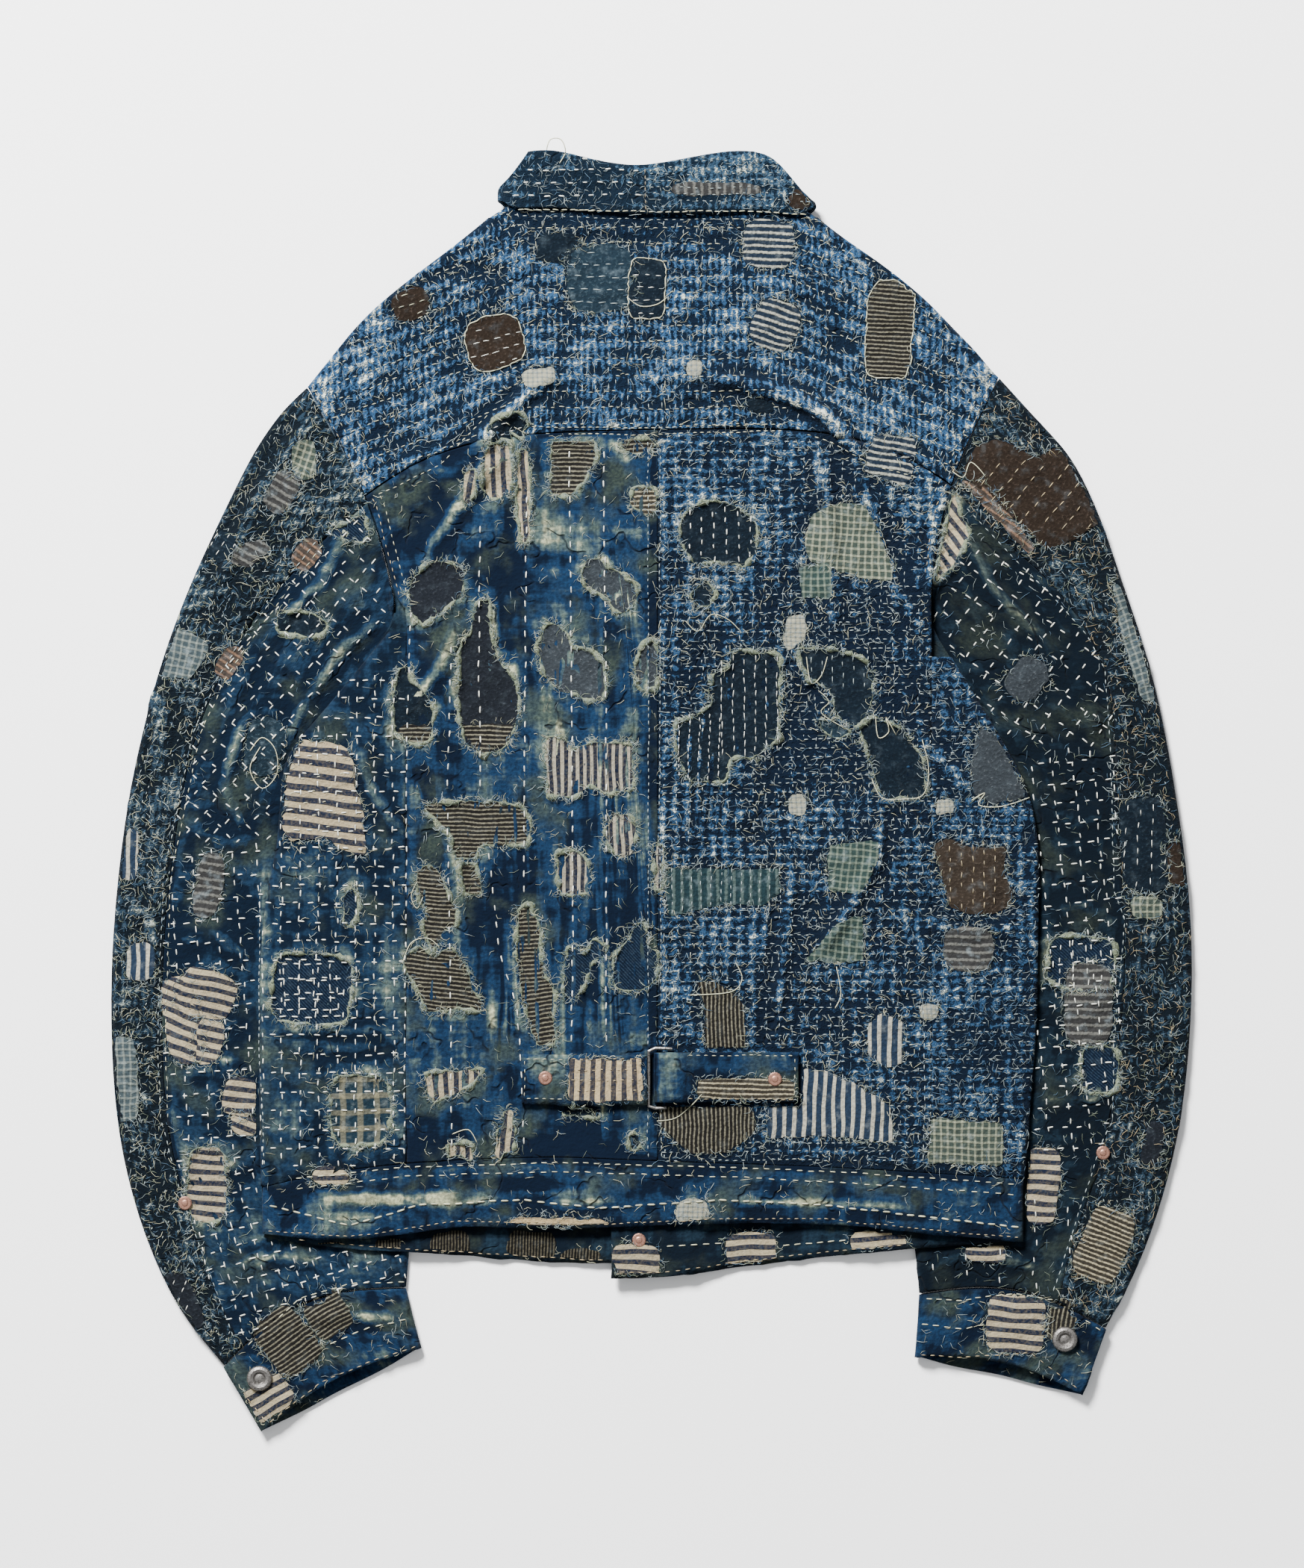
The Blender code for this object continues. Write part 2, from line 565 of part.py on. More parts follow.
def bulge(side, x):
    """How far the top of a back panel rises above the chord between its corners."""
    corner_x, corner_y = armhole(side, YOKE_SHARE[side])
    share = min(max((x - corner_x) / (CENTRE_SEAM_X - corner_x), 0.0), 1.0)
    return yoke_seam_y(x) - corner_y - (yoke_seam_y(CENTRE_SEAM_X) - corner_y) * share


def under_of(side):
    return front_under if side == "left" else front_right_under


def make_side(side, material):
    """A side panel from its seam with the back to the body's side fold."""
    gap = SEAM_GAP / 2.0
    left_hand = side == "left"
    seam = LEFT_SIDE_SEAM_X - gap if left_hand else RIGHT_SIDE_SEAM_X + gap
    top = SIDE_PANEL_TOP[side]
    levels = even(top, 20.0, 4) + even(20.0, -238.0, 12)[1:]
    rows = []
    for y in levels:
        edge = (side_x(side, y), y)
        if left_hand:
            columns = across_panel(edge, (seam, y), 4, 1.0, None)
            rows.append(row_between(edge, (seam, y), columns, lambda x: 0.0))
        else:
            columns = across_panel((seam, y), edge, 4, None, 1.0)
            rows.append(row_between((seam, y), edge, columns, lambda x: 0.0))
    rows[-1] = [(x, lookup(WAIST_BACK, 0, 1, x) + gap, lift) for x, y, lift in rows[-1]]
    make_panel("back_side_" + side, rows, True, back_top, under_of(side), BODY_WALL, material)


def make_front(side, material):
    """A front from the shoulder and neckline to its waistband. Rows run from the side to the front edge."""
    gap = SEAM_GAP / 2.0
    left_hand = side == "left"
    front_x = LEFT_FRONT_EDGE if left_hand else RIGHT_FRONT_EDGE
    bands = []
    for share, (left_x, right_x, y) in zip(even(0.0, 0.54, 7), SHOULDERS[1:]):
        bands.append(((left_x if left_hand else right_x, y), share, 1.0))
    for share, along_edge, folded in ARMHOLE_ROWS:
        bands.append((armhole(side, share, ARMHOLE_GAP / 2.0), along_edge, folded))
    rows = []
    underarm_y = SLEEVES[side][0][3]
    neck_y = front_neck_y(front_x) - HIDDEN_GAP
    top_corner = bands[0][0]
    for corner, share, folded in bands:
        edge = (front_x, neck_y + (underarm_y - neck_y) * share)
        rows.append(front_row(corner, edge, folded, left_hand, top_corner, max(1.0 - share / 0.6, 0.0)))
    lower = even(underarm_y - 14.0, 20.0, 4) + even(20.0, -236.0, 5)[1:] + [WAIST_FRONT_SEAM_Y + gap]
    for y in lower:
        rows.append(front_row((side_x(side, y), y), (front_x, y), 1.0, left_hand, top_corner, 0.0))
    make_panel("front_" + side, rows, False, under_of(side), back_top, BODY_WALL, material)


def front_row(corner, edge, folded, left_hand, top_corner, dip):
    """One row of a front, which dips with the neckline by that share."""
    top_edge = (edge[0], front_neck_y(edge[0]))

    def fall(x):
        share = min(max((x - top_corner[0]) / (top_edge[0] - top_corner[0]), 0.0), 1.0)
        chord = top_corner[1] + (top_edge[1] - top_corner[1]) * share
        return dip * min(front_neck_y(x) - chord, 0.0)

    if left_hand:
        columns = across_panel(corner, edge, 4, folded, None, near_right=PLACKET_COLUMNS)
        return row_between(corner, edge, columns, fall)
    columns = across_panel(edge, corner, 4, None, folded, near_left=PLACKET_COLUMNS)
    return row_between(edge, corner, columns, fall)


def make_waistband_back(material):
    gap = SEAM_GAP / 2.0
    rows = []
    for share in (0.0, 0.5, 1.0):
        left = (side_x("left", -270.0), 0.0)
        right = (side_x("right", -270.0), 0.0)
        columns = across_panel(left, right, 20, 1.0, 1.0)
        line = []
        for x, y, lift in row_between(left, right, columns, lambda x: 0.0):
            seam_y = lookup(WAIST_BACK, 0, 1, x) - gap
            edge_y = lookup(WAIST_BACK, 0, 2, x)
            line.append((x, seam_y + (edge_y - seam_y) * share, lift))
        rows.append(line)
    make_panel("waistband_back", rows, True, back_top, front_right_under, BAND_WALL, material)


def make_waistband_front(side, material):
    gap = SEAM_GAP / 2.0
    left_hand = side == "left"
    edges = WAIST_FRONT_LEFT if left_hand else WAIST_FRONT_RIGHT
    left = (edges[0][0], 0.0)
    right = (edges[-1][0], 0.0)
    if left_hand:
        columns = across_panel(left, right, 6, 1.0, None, near_right=PLACKET_COLUMNS)
    else:
        columns = across_panel(left, right, 6, None, 1.0, near_left=PLACKET_COLUMNS)
    rows = []
    for share in (0.0, 0.5, 1.0):
        line = []
        for x, y, lift in row_between(left, right, columns, lambda x: 0.0):
            edge_y = lookup(edges, 0, 1, x)
            seam_y = WAIST_FRONT_SEAM_Y - gap
            line.append((x, seam_y + (edge_y - seam_y) * share, lift))
        rows.append(line)
    make_panel("waistband_front_" + side, rows, False, under_of(side), back_top, BODY_WALL, material)


# Sleeves and cuffs

def sleeve_section(side, place):
    """What a sleeve's cross-section needs at a row number of its table: a function from share across,
    height share and layer to a point."""
    row = station(SLEEVES[side], place)
    outer, inner, bow = (row[0], row[1]), (row[2], row[3]), row[4]
    near_armhole = 1.0 - smooth(place)
    shift = -ARMHOLE_GAP / 2.0 * near_armhole

    def upper_height(x, y):
        own = sleeve_top(x, y, side)
        return own + (back_top(x, y) - own) * near_armhole

    def lower_height(x, y):
        return under_of(side)(x, y) * near_armhole

    def point(share, lift, upper):
        x, y = bowed(outer, inner, bow, share, side, shift)
        top = upper_height(x, y)
        bottom = lower_height(x, y)
        middle = (top + bottom) / 2.0
        height = top if upper else bottom
        return x, y, middle + (height - middle) * lift

    width = math.hypot(outer[0] - inner[0], outer[1] - inner[1])
    return point, width, row[5], (lower_height, upper_height)


def make_sleeve(side, outer_material, inner_material):
    """The outer piece runs from the underarm seam across the floor, round the outer fold and up to the
    back seam. The inner piece covers the rest of the upper side."""
    places = [0.0, 0.3, 0.65, 1.0, 1.5] + even(2.0, 18.0, 13)
    gap = SEAM_GAP / 2.0
    grids = {"outer": ([], [], [], []), "inner": ([], [], [], [])}
    for place in places:
        point, width, seam, heights = sleeve_section(side, place)
        distances, lifts = fold_distances(FOLD_RADIUS)
        fold = [(d / width, h) for d, h in zip(distances, lifts)]
        under = [(1.0 - s, h, False) for s, h in fold]
        parted = 2.0 * gap / TUCKED_TOP + UNDERARM_PARTING * (1.0 - smooth(place / 2.0))
        under[0] = (1.0, parted, False)
        under += [(s, 1.0, False) for s in even(under[-1][0], fold[-1][0], 4)[1:-1]]
        under += [(s, h, False) for s, h in reversed(fold)]
        top = [(s, h, True) for s, h in fold[1:]]
        top += [(s, 1.0, True) for s in even(fold[-1][0], seam - gap / width, 2)[1:]]
        store(grids["outer"], point, under + top, heights)
        inner = [(s, 1.0, True) for s in even(seam + gap / width, 1.0 - fold[-1][0], 6)[:-1]]
        inner += [(1.0 - s, h, True) for s, h in reversed(fold)]
        inner[-1] = (1.0, parted, True)
        store(grids["inner"], point, inner, heights)
    for piece, material in (("outer", outer_material), ("inner", inner_material)):
        outer, facing, level, middles = grids[piece]
        name = "sleeve_{}_{}".format(side, piece)
        wall_between(name, outer, inner_grid(outer, facing, level, middles, SLEEVE_WALL), material)


def store(grid, point, columns, heights):
    """Adds one cross-section to a sleeve's or cuff's grid, with its outward directions."""
    outer, facing, level, middles = grid
    line = [point(share, lift, upper) for share, lift, upper in columns]
    first = Vector(point(0.0, 0.0, True))
    last = Vector(point(1.0, 0.0, True))
    across = Vector((last.x - first.x, last.y - first.y, 0.0)).normalized()
    directions = []
    for (share, lift, upper), (x, y, z) in zip(columns, line):
        if lift == 1.0:
            directions.append(surface_normal(heights[1] if upper else heights[0], x, y, upper))
            continue
        sideways = -across if share < 0.5 else across
        height = (heights[1](x, y) - heights[0](x, y)) / 2.0
        directions.append(edge_normal(sideways, max(lift, NEARLY_FLAT), height, upper))
    outer.append(line)
    facing.append(directions)
    level.append([1 if lift < 0.25 else 2 if lift == 1.0 else 0 for share, lift, upper in columns])
    middles.append(lambda x, y: (heights[0](x, y) + heights[1](x, y)) / 2.0)


def make_cuff(side, material):
    """A band from its outer end under the hand opening, round the inner fold and back to its upper end."""
    seam_row = SLEEVES[side][-1]
    edge_row = CUFF_EDGES[side]
    grid = ([], [], [], [])
    for along in (0.0, 0.33, 0.67, 1.0):
        row = [a + (b - a) * along for a, b in zip(seam_row[:5], edge_row)]
        outer, inner, bow = (row[0], row[1]), (row[2], row[3]), row[4]
        width = math.hypot(outer[0] - inner[0], outer[1] - inner[1])
        distances, lifts = fold_distances(FOLD_RADIUS)
        fold = [(d / width, h) for d, h in zip(distances, lifts)]

        def point(share, lift, upper, along=along, outer=outer, inner=inner, bow=bow):
            x, y = bowed(outer, inner, bow, share, side)
            y -= HIDDEN_GAP * (1.0 - along)
            top = sleeve_top(x, y, side)
            if not upper:
                y -= CUFF_UNDERLAP * along * smooth((1.0 - share) / 0.3) * smooth(share / 0.3)
            middle = top / 2.0
            return x, y, middle + ((top if upper else 0.0) - middle) * lift

        columns = [(s, 1.0, False) for s in even(0.0, 1.0 - fold[-1][0], 6)[:-1]]
        columns += [(1.0 - s, h, False) for s, h in reversed(fold)]
        columns += [(1.0 - s, h, True) for s, h in fold[1:]]
        columns += [(s, 1.0, True) for s in even(1.0 - fold[-1][0], 0.0, 6)[1:]]
        store(grid, point, columns, (lambda x, y: 0.0, lambda x, y: sleeve_top(x, y, side)))
    outer, facing, level, middles = grid
    wall_between("cuff_" + side, outer, inner_grid(outer, facing, level, middles, SLEEVE_WALL), material)


# Collar

def collar_section(row):
    """The hairpin of stand, fold and fall: distance out from the stand and place along y, as the middle
    line of the cloth, with the direction that its outer side faces."""
    x, seam_y, fold_y, fall_y, angle = row
    if angle in (-90, -450):
        seam_y = front_neck_y(x) + HIDDEN_GAP / 2.0
    half = (COLLAR_WALL + LAYER_GAP) / 2.0
    turn_y = fold_y - half - COLLAR_WALL / 2.0
    line = [(0.0, seam_y), (0.0, (seam_y + turn_y) / 2.0)]
    for degrees in (180.0, 135.0, 90.0, 45.0, 0.0):
        radians = math.radians(degrees)
        line.append((half + half * math.cos(radians), turn_y + half * math.sin(radians)))
    line += [(2.0 * half, (fall_y + turn_y) / 2.0), (2.0 * half, fall_y)]
    return x, angle, line


def make_collar(material):
    outer = []
    inner = []
    for row in COLLAR:
        x, angle, line = collar_section(row)
        radians = math.radians(angle)
        out = Vector((math.cos(radians), 0.0, math.sin(radians)))
        centre = Vector((x, 0.0, COLLAR_RING_Z))
        outer_line = []
        inner_line = []
        for j, (away, y) in enumerate(line):
            before = Vector(line[max(j - 1, 0)])
            after = Vector(line[min(j + 1, len(line) - 1)])
            tangent = (after - before).normalized()
            normal = Vector((tangent.y, -tangent.x))
            for store_line, sign in ((outer_line, -1.0), (inner_line, 1.0)):
                shifted = Vector((away, y)) + normal * sign * COLLAR_WALL / 2.0
                spot = centre + out * (COLLAR_RING_RADIUS + shifted.x)
                store_line.append((spot.x, shifted.y, spot.z))
        outer.append(outer_line)
        inner.append(inner_line)
    wall_between("collar", outer, inner, material)


# The back cinch

def make_strap(name, edges, material, loop=False):
    """A strap on the back, made from the back's own surface moved up."""
    xs = even(edges["left"], edges["right"], 7)
    if loop:
        xs = even(LOOP_LEFT, edges["left"] - 4.0, 4) + [edges["left"], edges["left"] + 5.0] + xs[1:]
    upper = []
    lower = []
    for y in even(edges["top"], edges["bottom"], 3):
        high = []
        low = []
        for x in xs:
            base = back_top(x, y) + STRAP_LIFT
            rise = STRAP_WALL
            if loop:
                folded = smooth((edges["left"] + 4.0 - x) / 7.0)
                rise += LOOP_RISE * folded * smooth((x - LOOP_LEFT + 3.0) / 6.0)
            high.append((x, y, base + rise))
            low.append((x, y, base))
        upper.append(high)
        lower.append(low)
    wall_between(name, upper, lower, material)


def make_buckle(material):
    """The cinch's bent wire, lying between the two straps: across the gap at the top, down beside the
    loop and across again at the bottom."""
    base = back_top(-1.0, -186.0) + STRAP_LIFT + 1.2
    spots = [(x, y, base + rise) for x, y, rise in BUCKLE]
    make_wire("cinch_buckle", spots, BUCKLE_WIRE, material)


def make_wire(name, spots, radius, material):
    curve = bpy.data.curves.new(name, "CURVE")
    curve.dimensions = "3D"
    spline = curve.splines.new("POLY")
    spline.points.add(len(spots) - 1)
    for point, (x, y, z) in zip(spline.points, spots):
        point.co = (x * MM, (y + CENTRE_SHIFT_Y) * MM, z * MM, 1.0)
    curve.bevel_depth = radius * MM
    curve.bevel_resolution = 2
    curve.use_fill_caps = True
    curve.render_resolution_u = 0
    curve.materials.append(material)
    bpy.context.scene.collection.objects.link(bpy.data.objects.new(name, curve))


# Buttons and rivets

def make_turned(name, centre, base, profile, material, segments=20):
    """A turned piece on a vertical axis. The profile is radius and height from the axis at the top
    round to the axis at the bottom."""
    points = [(centre[0], centre[1], base + profile[0][1])]
    faces = []
    rings = []
    for radius, height in profile[1:-1]:
        ring = []
        for k in range(segments):
            angle = 2.0 * math.pi * k / segments
            ring.append(len(points))
            points.append((
                centre[0] + radius * math.cos(angle), centre[1] + radius * math.sin(angle), base + height
            ))
        rings.append(ring)
    points.append((centre[0], centre[1], base + profile[-1][1]))
    last = len(points) - 1
    for k in range(segments):
        after = (k + 1) % segments
        faces.append((0, rings[0][k], rings[0][after]))
        faces.append((last, rings[-1][after], rings[-1][k]))
        for ring, below in zip(rings, rings[1:]):
            faces.append((ring[k], below[k], below[after], ring[after]))
    add_object(name, points, faces, material)


def plain_profile(radius, height):
    """The same button where it faces the floor, without its dish."""
    return (0.0, height), (radius * 0.85, height), (radius, height * 0.6), (radius * 0.9, 0.0), (0.0, 0.0)


def button_profile(radius, height):
    """A donut button: a rounded rim round a dished middle with a small pin."""
    return (
        (0.0, height * 0.62), (radius * 0.16, height * 0.6), (radius * 0.36, height * 0.5),
        (radius * 0.52, height * 0.88), (radius * 0.72, height), (radius * 0.92, height * 0.84),
        (radius, height * 0.5), (radius * 0.9, 0.0), (0.0, 0.0),
    )


def rivet_profile(radius, height):
    return (
        (0.0, height), (radius * 0.35, height * 0.92), (radius * 0.5, height * 0.62),
        (radius * 0.86, height * 0.6), (radius, height * 0.25), (radius * 0.96, 0.0), (0.0, 0.0),
    )


def make_fastenings(metal, copper):
    for side, (x, y) in CINCH_RIVETS.items():
        base = back_top(x, y) + STRAP_LIFT + STRAP_WALL + 0.4
        make_turned("cinch_rivet_" + side, (x, y), base, rivet_profile(RIVET_RADIUS, 1.5), copper, 16)
    for side, (x, y) in SLEEVE_RIVETS.items():
        base = sleeve_top(x, y, side) + 0.5
        make_turned("sleeve_rivet_" + side, (x, y), base, rivet_profile(RIVET_RADIUS, 1.5), copper, 16)
    for side, (x, y) in CUFF_BUTTONS.items():
        base = sleeve_top(x, y, side) + 0.5
        dished = button_profile(BUTTON_RADIUS, BUTTON_HEIGHT)
        make_turned("cuff_button_" + side, (x, y), base, dished, metal, 24)
    stud_base = front_right_under(*WAIST_BUTTON) + BODY_WALL + 0.4
    make_turned("waist_button_stud", WAIST_BUTTON, stud_base, rivet_profile(RIVET_RADIUS, 1.4), metal, 16)
    hidden = plain_profile(BUTTON_RADIUS, -FRONT_BUTTON_HEIGHT)
    for number, y in enumerate(FRONT_BUTTON_YS, 1):
        name = "front_button_{}".format(number)
        make_turned(name, (PLACKET_X, y), FRONT_BUTTON_HEIGHT, hidden, metal, 12)
    make_turned("waist_button", WAIST_BUTTON, FRONT_BUTTON_HEIGHT, hidden, metal, 12)


def main():
    for item in list(bpy.data.objects):
        bpy.data.objects.remove(item, do_unlink=True)
    fuzzy_blue = make_material("fuzzy_blue", (0.16, 0.27, 0.42), 0.95)
    deep_indigo = make_material("deep_indigo", (0.055, 0.10, 0.20), 0.9)
    dark_indigo = make_material("dark_indigo", (0.035, 0.06, 0.12), 0.9)
    metal = make_material("button_metal", (0.62, 0.60, 0.56), 0.35, 1.0)
    copper = make_material("copper", (0.72, 0.36, 0.22), 0.35, 1.0)

    make_yoke(fuzzy_blue)
    make_back("left", deep_indigo)
    make_back("right", fuzzy_blue)
    make_side("left", dark_indigo)
    make_side("right", deep_indigo)
    make_front("left", deep_indigo)
    make_front("right", deep_indigo)
    make_waistband_back(deep_indigo)
    make_waistband_front("left", dark_indigo)
    make_waistband_front("right", dark_indigo)
    make_collar(dark_indigo)
    for side in ("left", "right"):
        make_sleeve(side, fuzzy_blue, dark_indigo)
        make_cuff(side, deep_indigo)
    make_strap("cinch_strap_left", STRAP_LEFT, deep_indigo)
    make_strap("cinch_strap_right", STRAP_RIGHT, deep_indigo, loop=True)
    make_buckle(metal)
    make_fastenings(metal, copper)


main()
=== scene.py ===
"""Looks of the patched boro jacket: fine cloth over the CAD panels, with its patches, worn holes, running
stitches and loose threads. Places are pixels of the photo, which spot() turns into metres."""

import math
import random

import bmesh
import bpy
import numpy as np
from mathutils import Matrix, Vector, geometry, noise
from mathutils.bvhtree import BVHTree


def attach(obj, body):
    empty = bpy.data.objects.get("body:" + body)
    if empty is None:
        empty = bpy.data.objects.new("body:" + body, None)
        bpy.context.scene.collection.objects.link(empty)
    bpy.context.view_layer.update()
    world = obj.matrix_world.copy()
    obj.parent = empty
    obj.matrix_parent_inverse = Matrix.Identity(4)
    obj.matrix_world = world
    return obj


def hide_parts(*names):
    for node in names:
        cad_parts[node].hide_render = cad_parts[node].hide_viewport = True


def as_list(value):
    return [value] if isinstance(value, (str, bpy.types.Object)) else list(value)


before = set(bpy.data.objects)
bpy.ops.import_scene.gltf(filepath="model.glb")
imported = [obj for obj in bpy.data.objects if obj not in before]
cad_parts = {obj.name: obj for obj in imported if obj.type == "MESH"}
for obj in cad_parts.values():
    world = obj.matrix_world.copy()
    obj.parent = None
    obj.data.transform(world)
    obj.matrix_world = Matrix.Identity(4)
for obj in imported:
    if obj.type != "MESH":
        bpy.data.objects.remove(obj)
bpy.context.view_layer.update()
random.seed(7)
rng = np.random.default_rng(7)

PX = 1.0 / 2100.0           # metres in a pixel of the photo
PHOTO_CENTRE = (874.0, 1052.5)
SHIFT_Y = 0.0029            # y of the photo's centre, in metres
MM = 0.001
FAR, TINY = 1e9, 1e-9       # more than any distance, and less

# Cloth panels: CAD node, cloth, flat width and length in metres, share of that rectangle that is cut, how
# many times it is subdivided
PANELS = (
    ("yoke", "fuzzy", 0.49, 0.20, 0.68, 2),
    ("back_left", "indigo", 0.20, 0.48, 0.88, 2),
    ("back_right", "fuzzy_grid", 0.205, 0.485, 0.90, 2),
    ("back_side_left", "hatched", 0.105, 0.36, 0.82, 2),
    ("back_side_right", "fuzzy_grid", 0.080, 0.34, 0.80, 2),
    ("front_left", "indigo_dark", 0.29, 0.63, 0.82, 1),
    ("front_right", "indigo_dark", 0.30, 0.63, 0.82, 1),
    ("waistband_back", "indigo", 0.50, 0.045, 0.95, 2),
    ("waistband_front_left", "indigo_dark", 0.27, 0.040, 0.90, 2),
    ("waistband_front_right", "indigo_dark", 0.27, 0.050, 0.85, 2),
    ("collar", "collar_cloth", 0.44, 0.070, 0.85, 2),
    ("sleeve_left_outer", "fuzzy_dark", 0.26, 0.64, 0.75, 2),
    ("sleeve_left_inner", "hatched", 0.15, 0.56, 0.80, 2),
    ("sleeve_right_outer", "fuzzy_dark", 0.26, 0.62, 0.75, 2),
    ("sleeve_right_inner", "hatched_dark", 0.14, 0.54, 0.80, 2),
    ("cuff_left", "indigo", 0.27, 0.062, 0.90, 2),
    ("cuff_right", "indigo", 0.24, 0.060, 0.90, 2),
    ("cinch_strap_left", "indigo", 0.080, 0.032, 1.0, 2),
    ("cinch_strap_right", "indigo", 0.100, 0.032, 1.0, 2),
)
FASTENINGS = (
    ("cinch_buckle", "steel"), ("cinch_rivet_left", "copper_metal"), ("cinch_rivet_right", "copper_metal"),
    ("sleeve_rivet_left", "copper_metal"), ("sleeve_rivet_right", "copper_metal"),
    ("cuff_button_left", "button_metal"), ("cuff_button_right", "button_metal"),
    ("waist_button_stud", "copper_metal"), ("waist_button", "button_metal"),
) + tuple(("front_button_%d" % number, "button_metal") for number in range(1, 6))

# Creases in the cloth: the points they run through, height in mm (negative for a groove), half width in mm
CREASES = (
    (((750, 503), (702, 531), (668, 570), (635, 611)), 1.8, 4.5),
    (((700, 520), (650, 556), (588, 632)), -1.4, 4.0),
    (((933, 503), (1056, 531), (1108, 559), (1150, 618)), 2.0, 4.5),
    (((1000, 540), (1080, 560), (1130, 610), (1160, 680)), -1.2, 4.0),
    (((1093, 583), (1110, 700), (1120, 870)), 1.6, 4.5),
    (((1130, 600), (1170, 700), (1200, 800), (1245, 850)), 1.4, 5.0),
    (((1178, 1083), (1175, 1150), (1145, 1203), (1125, 1239), (1089, 1285)), 1.8, 4.0),
    (((1046, 1159), (1036, 1279), (1026, 1358), (1021, 1405)), -1.5, 3.5),
    (((1060, 1159), (1050, 1279), (1040, 1358)), 1.4, 3.5),
    (((1100, 900), (1050, 1000), (1000, 1130)), -0.9, 5.0),
    (((560, 760), (600, 700), (640, 640), (700, 600)), 1.2, 4.5),
    (((500, 760), (560, 700), (620, 650)), -1.0, 4.0), (((700, 640), (680, 720), (690, 800)), -1.0, 4.0),
    (((620, 830), (585, 900), (540, 960)), 1.2, 4.5), (((480, 1000), (500, 1060), (540, 1120)), 1.6, 4.0),
    (((560, 1010), (590, 1120), (560, 1180)), -0.9, 5.0),
    (((640, 1380), (700, 1330), (760, 1350)), 0.8, 4.0),
    (((780, 1210), (800, 1300), (780, 1380)), -0.8, 5.0),
    (((360, 1375), (470, 1380), (545, 1372)), 0.9, 3.0),
    (((360, 1410), (470, 1416), (545, 1404)), -0.9, 3.0),
    (((900, 1020), (960, 1090), (1040, 1100)), 0.8, 4.0),
    (((1200, 900), (1240, 1000), (1300, 1060)), 1.1, 5.0),
    (((1230, 1230), (1290, 1250), (1370, 1240)), 0.8, 4.5),
    (((1150, 300), (1180, 370), (1230, 430)), -0.8, 5.0), (((560, 380), (620, 360), (690, 370)), -0.8, 5.0),
    (((700, 300), (760, 330), (840, 330), (900, 310)), -1.0, 6.0),
    (((420, 560), (380, 620), (330, 700), (290, 800)), 1.2, 5.0),
    (((470, 700), (430, 780), (370, 850)), 1.5, 5.0),
    (((520, 820), (450, 880), (400, 960), (350, 1040)), 1.5, 4.5),
    (((430, 790), (360, 880), (310, 980)), -1.2, 4.0), (((330, 950), (300, 1050), (330, 1120)), 1.3, 4.0),
    (((250, 1100), (300, 1130), (350, 1120)), 1.2, 4.0),
    (((240, 1200), (290, 1180), (350, 1200)), -1.2, 4.0),
    (((230, 1260), (290, 1250), (345, 1290)), 1.3, 4.0),
    (((240, 1440), (300, 1420), (350, 1450)), 1.2, 4.0),
    (((170, 1200), (200, 1230), (215, 1300)), 1.0, 4.0),
    (((160, 1420), (200, 1480), (240, 1500)), 1.0, 4.0),
    (((260, 1560), (310, 1590), (350, 1560)), -1.0, 4.0),
    (((300, 1700), (370, 1680), (450, 1690)), 1.0, 4.0), (((190, 900), (220, 960), (210, 1040)), 1.0, 5.0),
    (((1290, 700), (1330, 790), (1400, 860)), 1.5, 4.5),
    (((1250, 780), (1310, 860), (1360, 940)), -1.3, 4.0),
    (((1330, 760), (1390, 830), (1450, 880)), -1.0, 4.0),
    (((1340, 560), (1400, 640), (1460, 740)), 1.0, 5.0),
    (((1400, 940), (1450, 970), (1490, 960)), 1.2, 4.0),
    (((1400, 1080), (1440, 1100), (1490, 1090)), 1.1, 4.0),
    (((1400, 1230), (1450, 1210), (1500, 1240)), 1.2, 4.0),
    (((1390, 1350), (1440, 1380), (1490, 1370)), -1.1, 4.0),
    (((1390, 1460), (1430, 1480), (1490, 1460)), 1.1, 4.0),
    (((1390, 1590), (1430, 1560), (1470, 1580)), 1.0, 4.0),
    (((1500, 1000), (1530, 1050), (1560, 1150)), 1.0, 4.0),
    (((1520, 1340), (1560, 1380), (1585, 1420)), 1.0, 4.0),
    (((1250, 1690), (1320, 1680), (1400, 1700)), 1.0, 4.0),
    (((400, 1600), (560, 1605), (700, 1600), (860, 1608)), 0.7, 4.0),
    (((960, 1605), (1100, 1610), (1250, 1615)), 0.7, 4.0),
    (((380, 1770), (460, 1760), (540, 1765)), 0.7, 3.5),
    (((431, 727), (394, 772), (325, 867), (294, 915), (264, 985), (250, 1051), (225, 1181), (221, 1296),
     (218, 1400), (222, 1500), (250, 1606), (326, 1812)), -0.9, 2.6),
    (((1287, 684), (1353, 754), (1406, 806), (1450, 856), (1474, 900), (1480, 998), (1483, 1080),
     (1485, 1192), (1500, 1236), (1493, 1312), (1485, 1395), (1483, 1500), (1464, 1545), (1403, 1730)),
     -0.9, 2.6),
    (((708, 579), (880, 579), (1050, 574)), -0.9, 2.4), (((877, 590), (877, 1000), (877, 1555)), -0.9, 2.4),
    (((395, 1570), (540, 1556), (751, 1550), (961, 1556), (1137, 1563), (1360, 1578)), -0.9, 2.4),
)

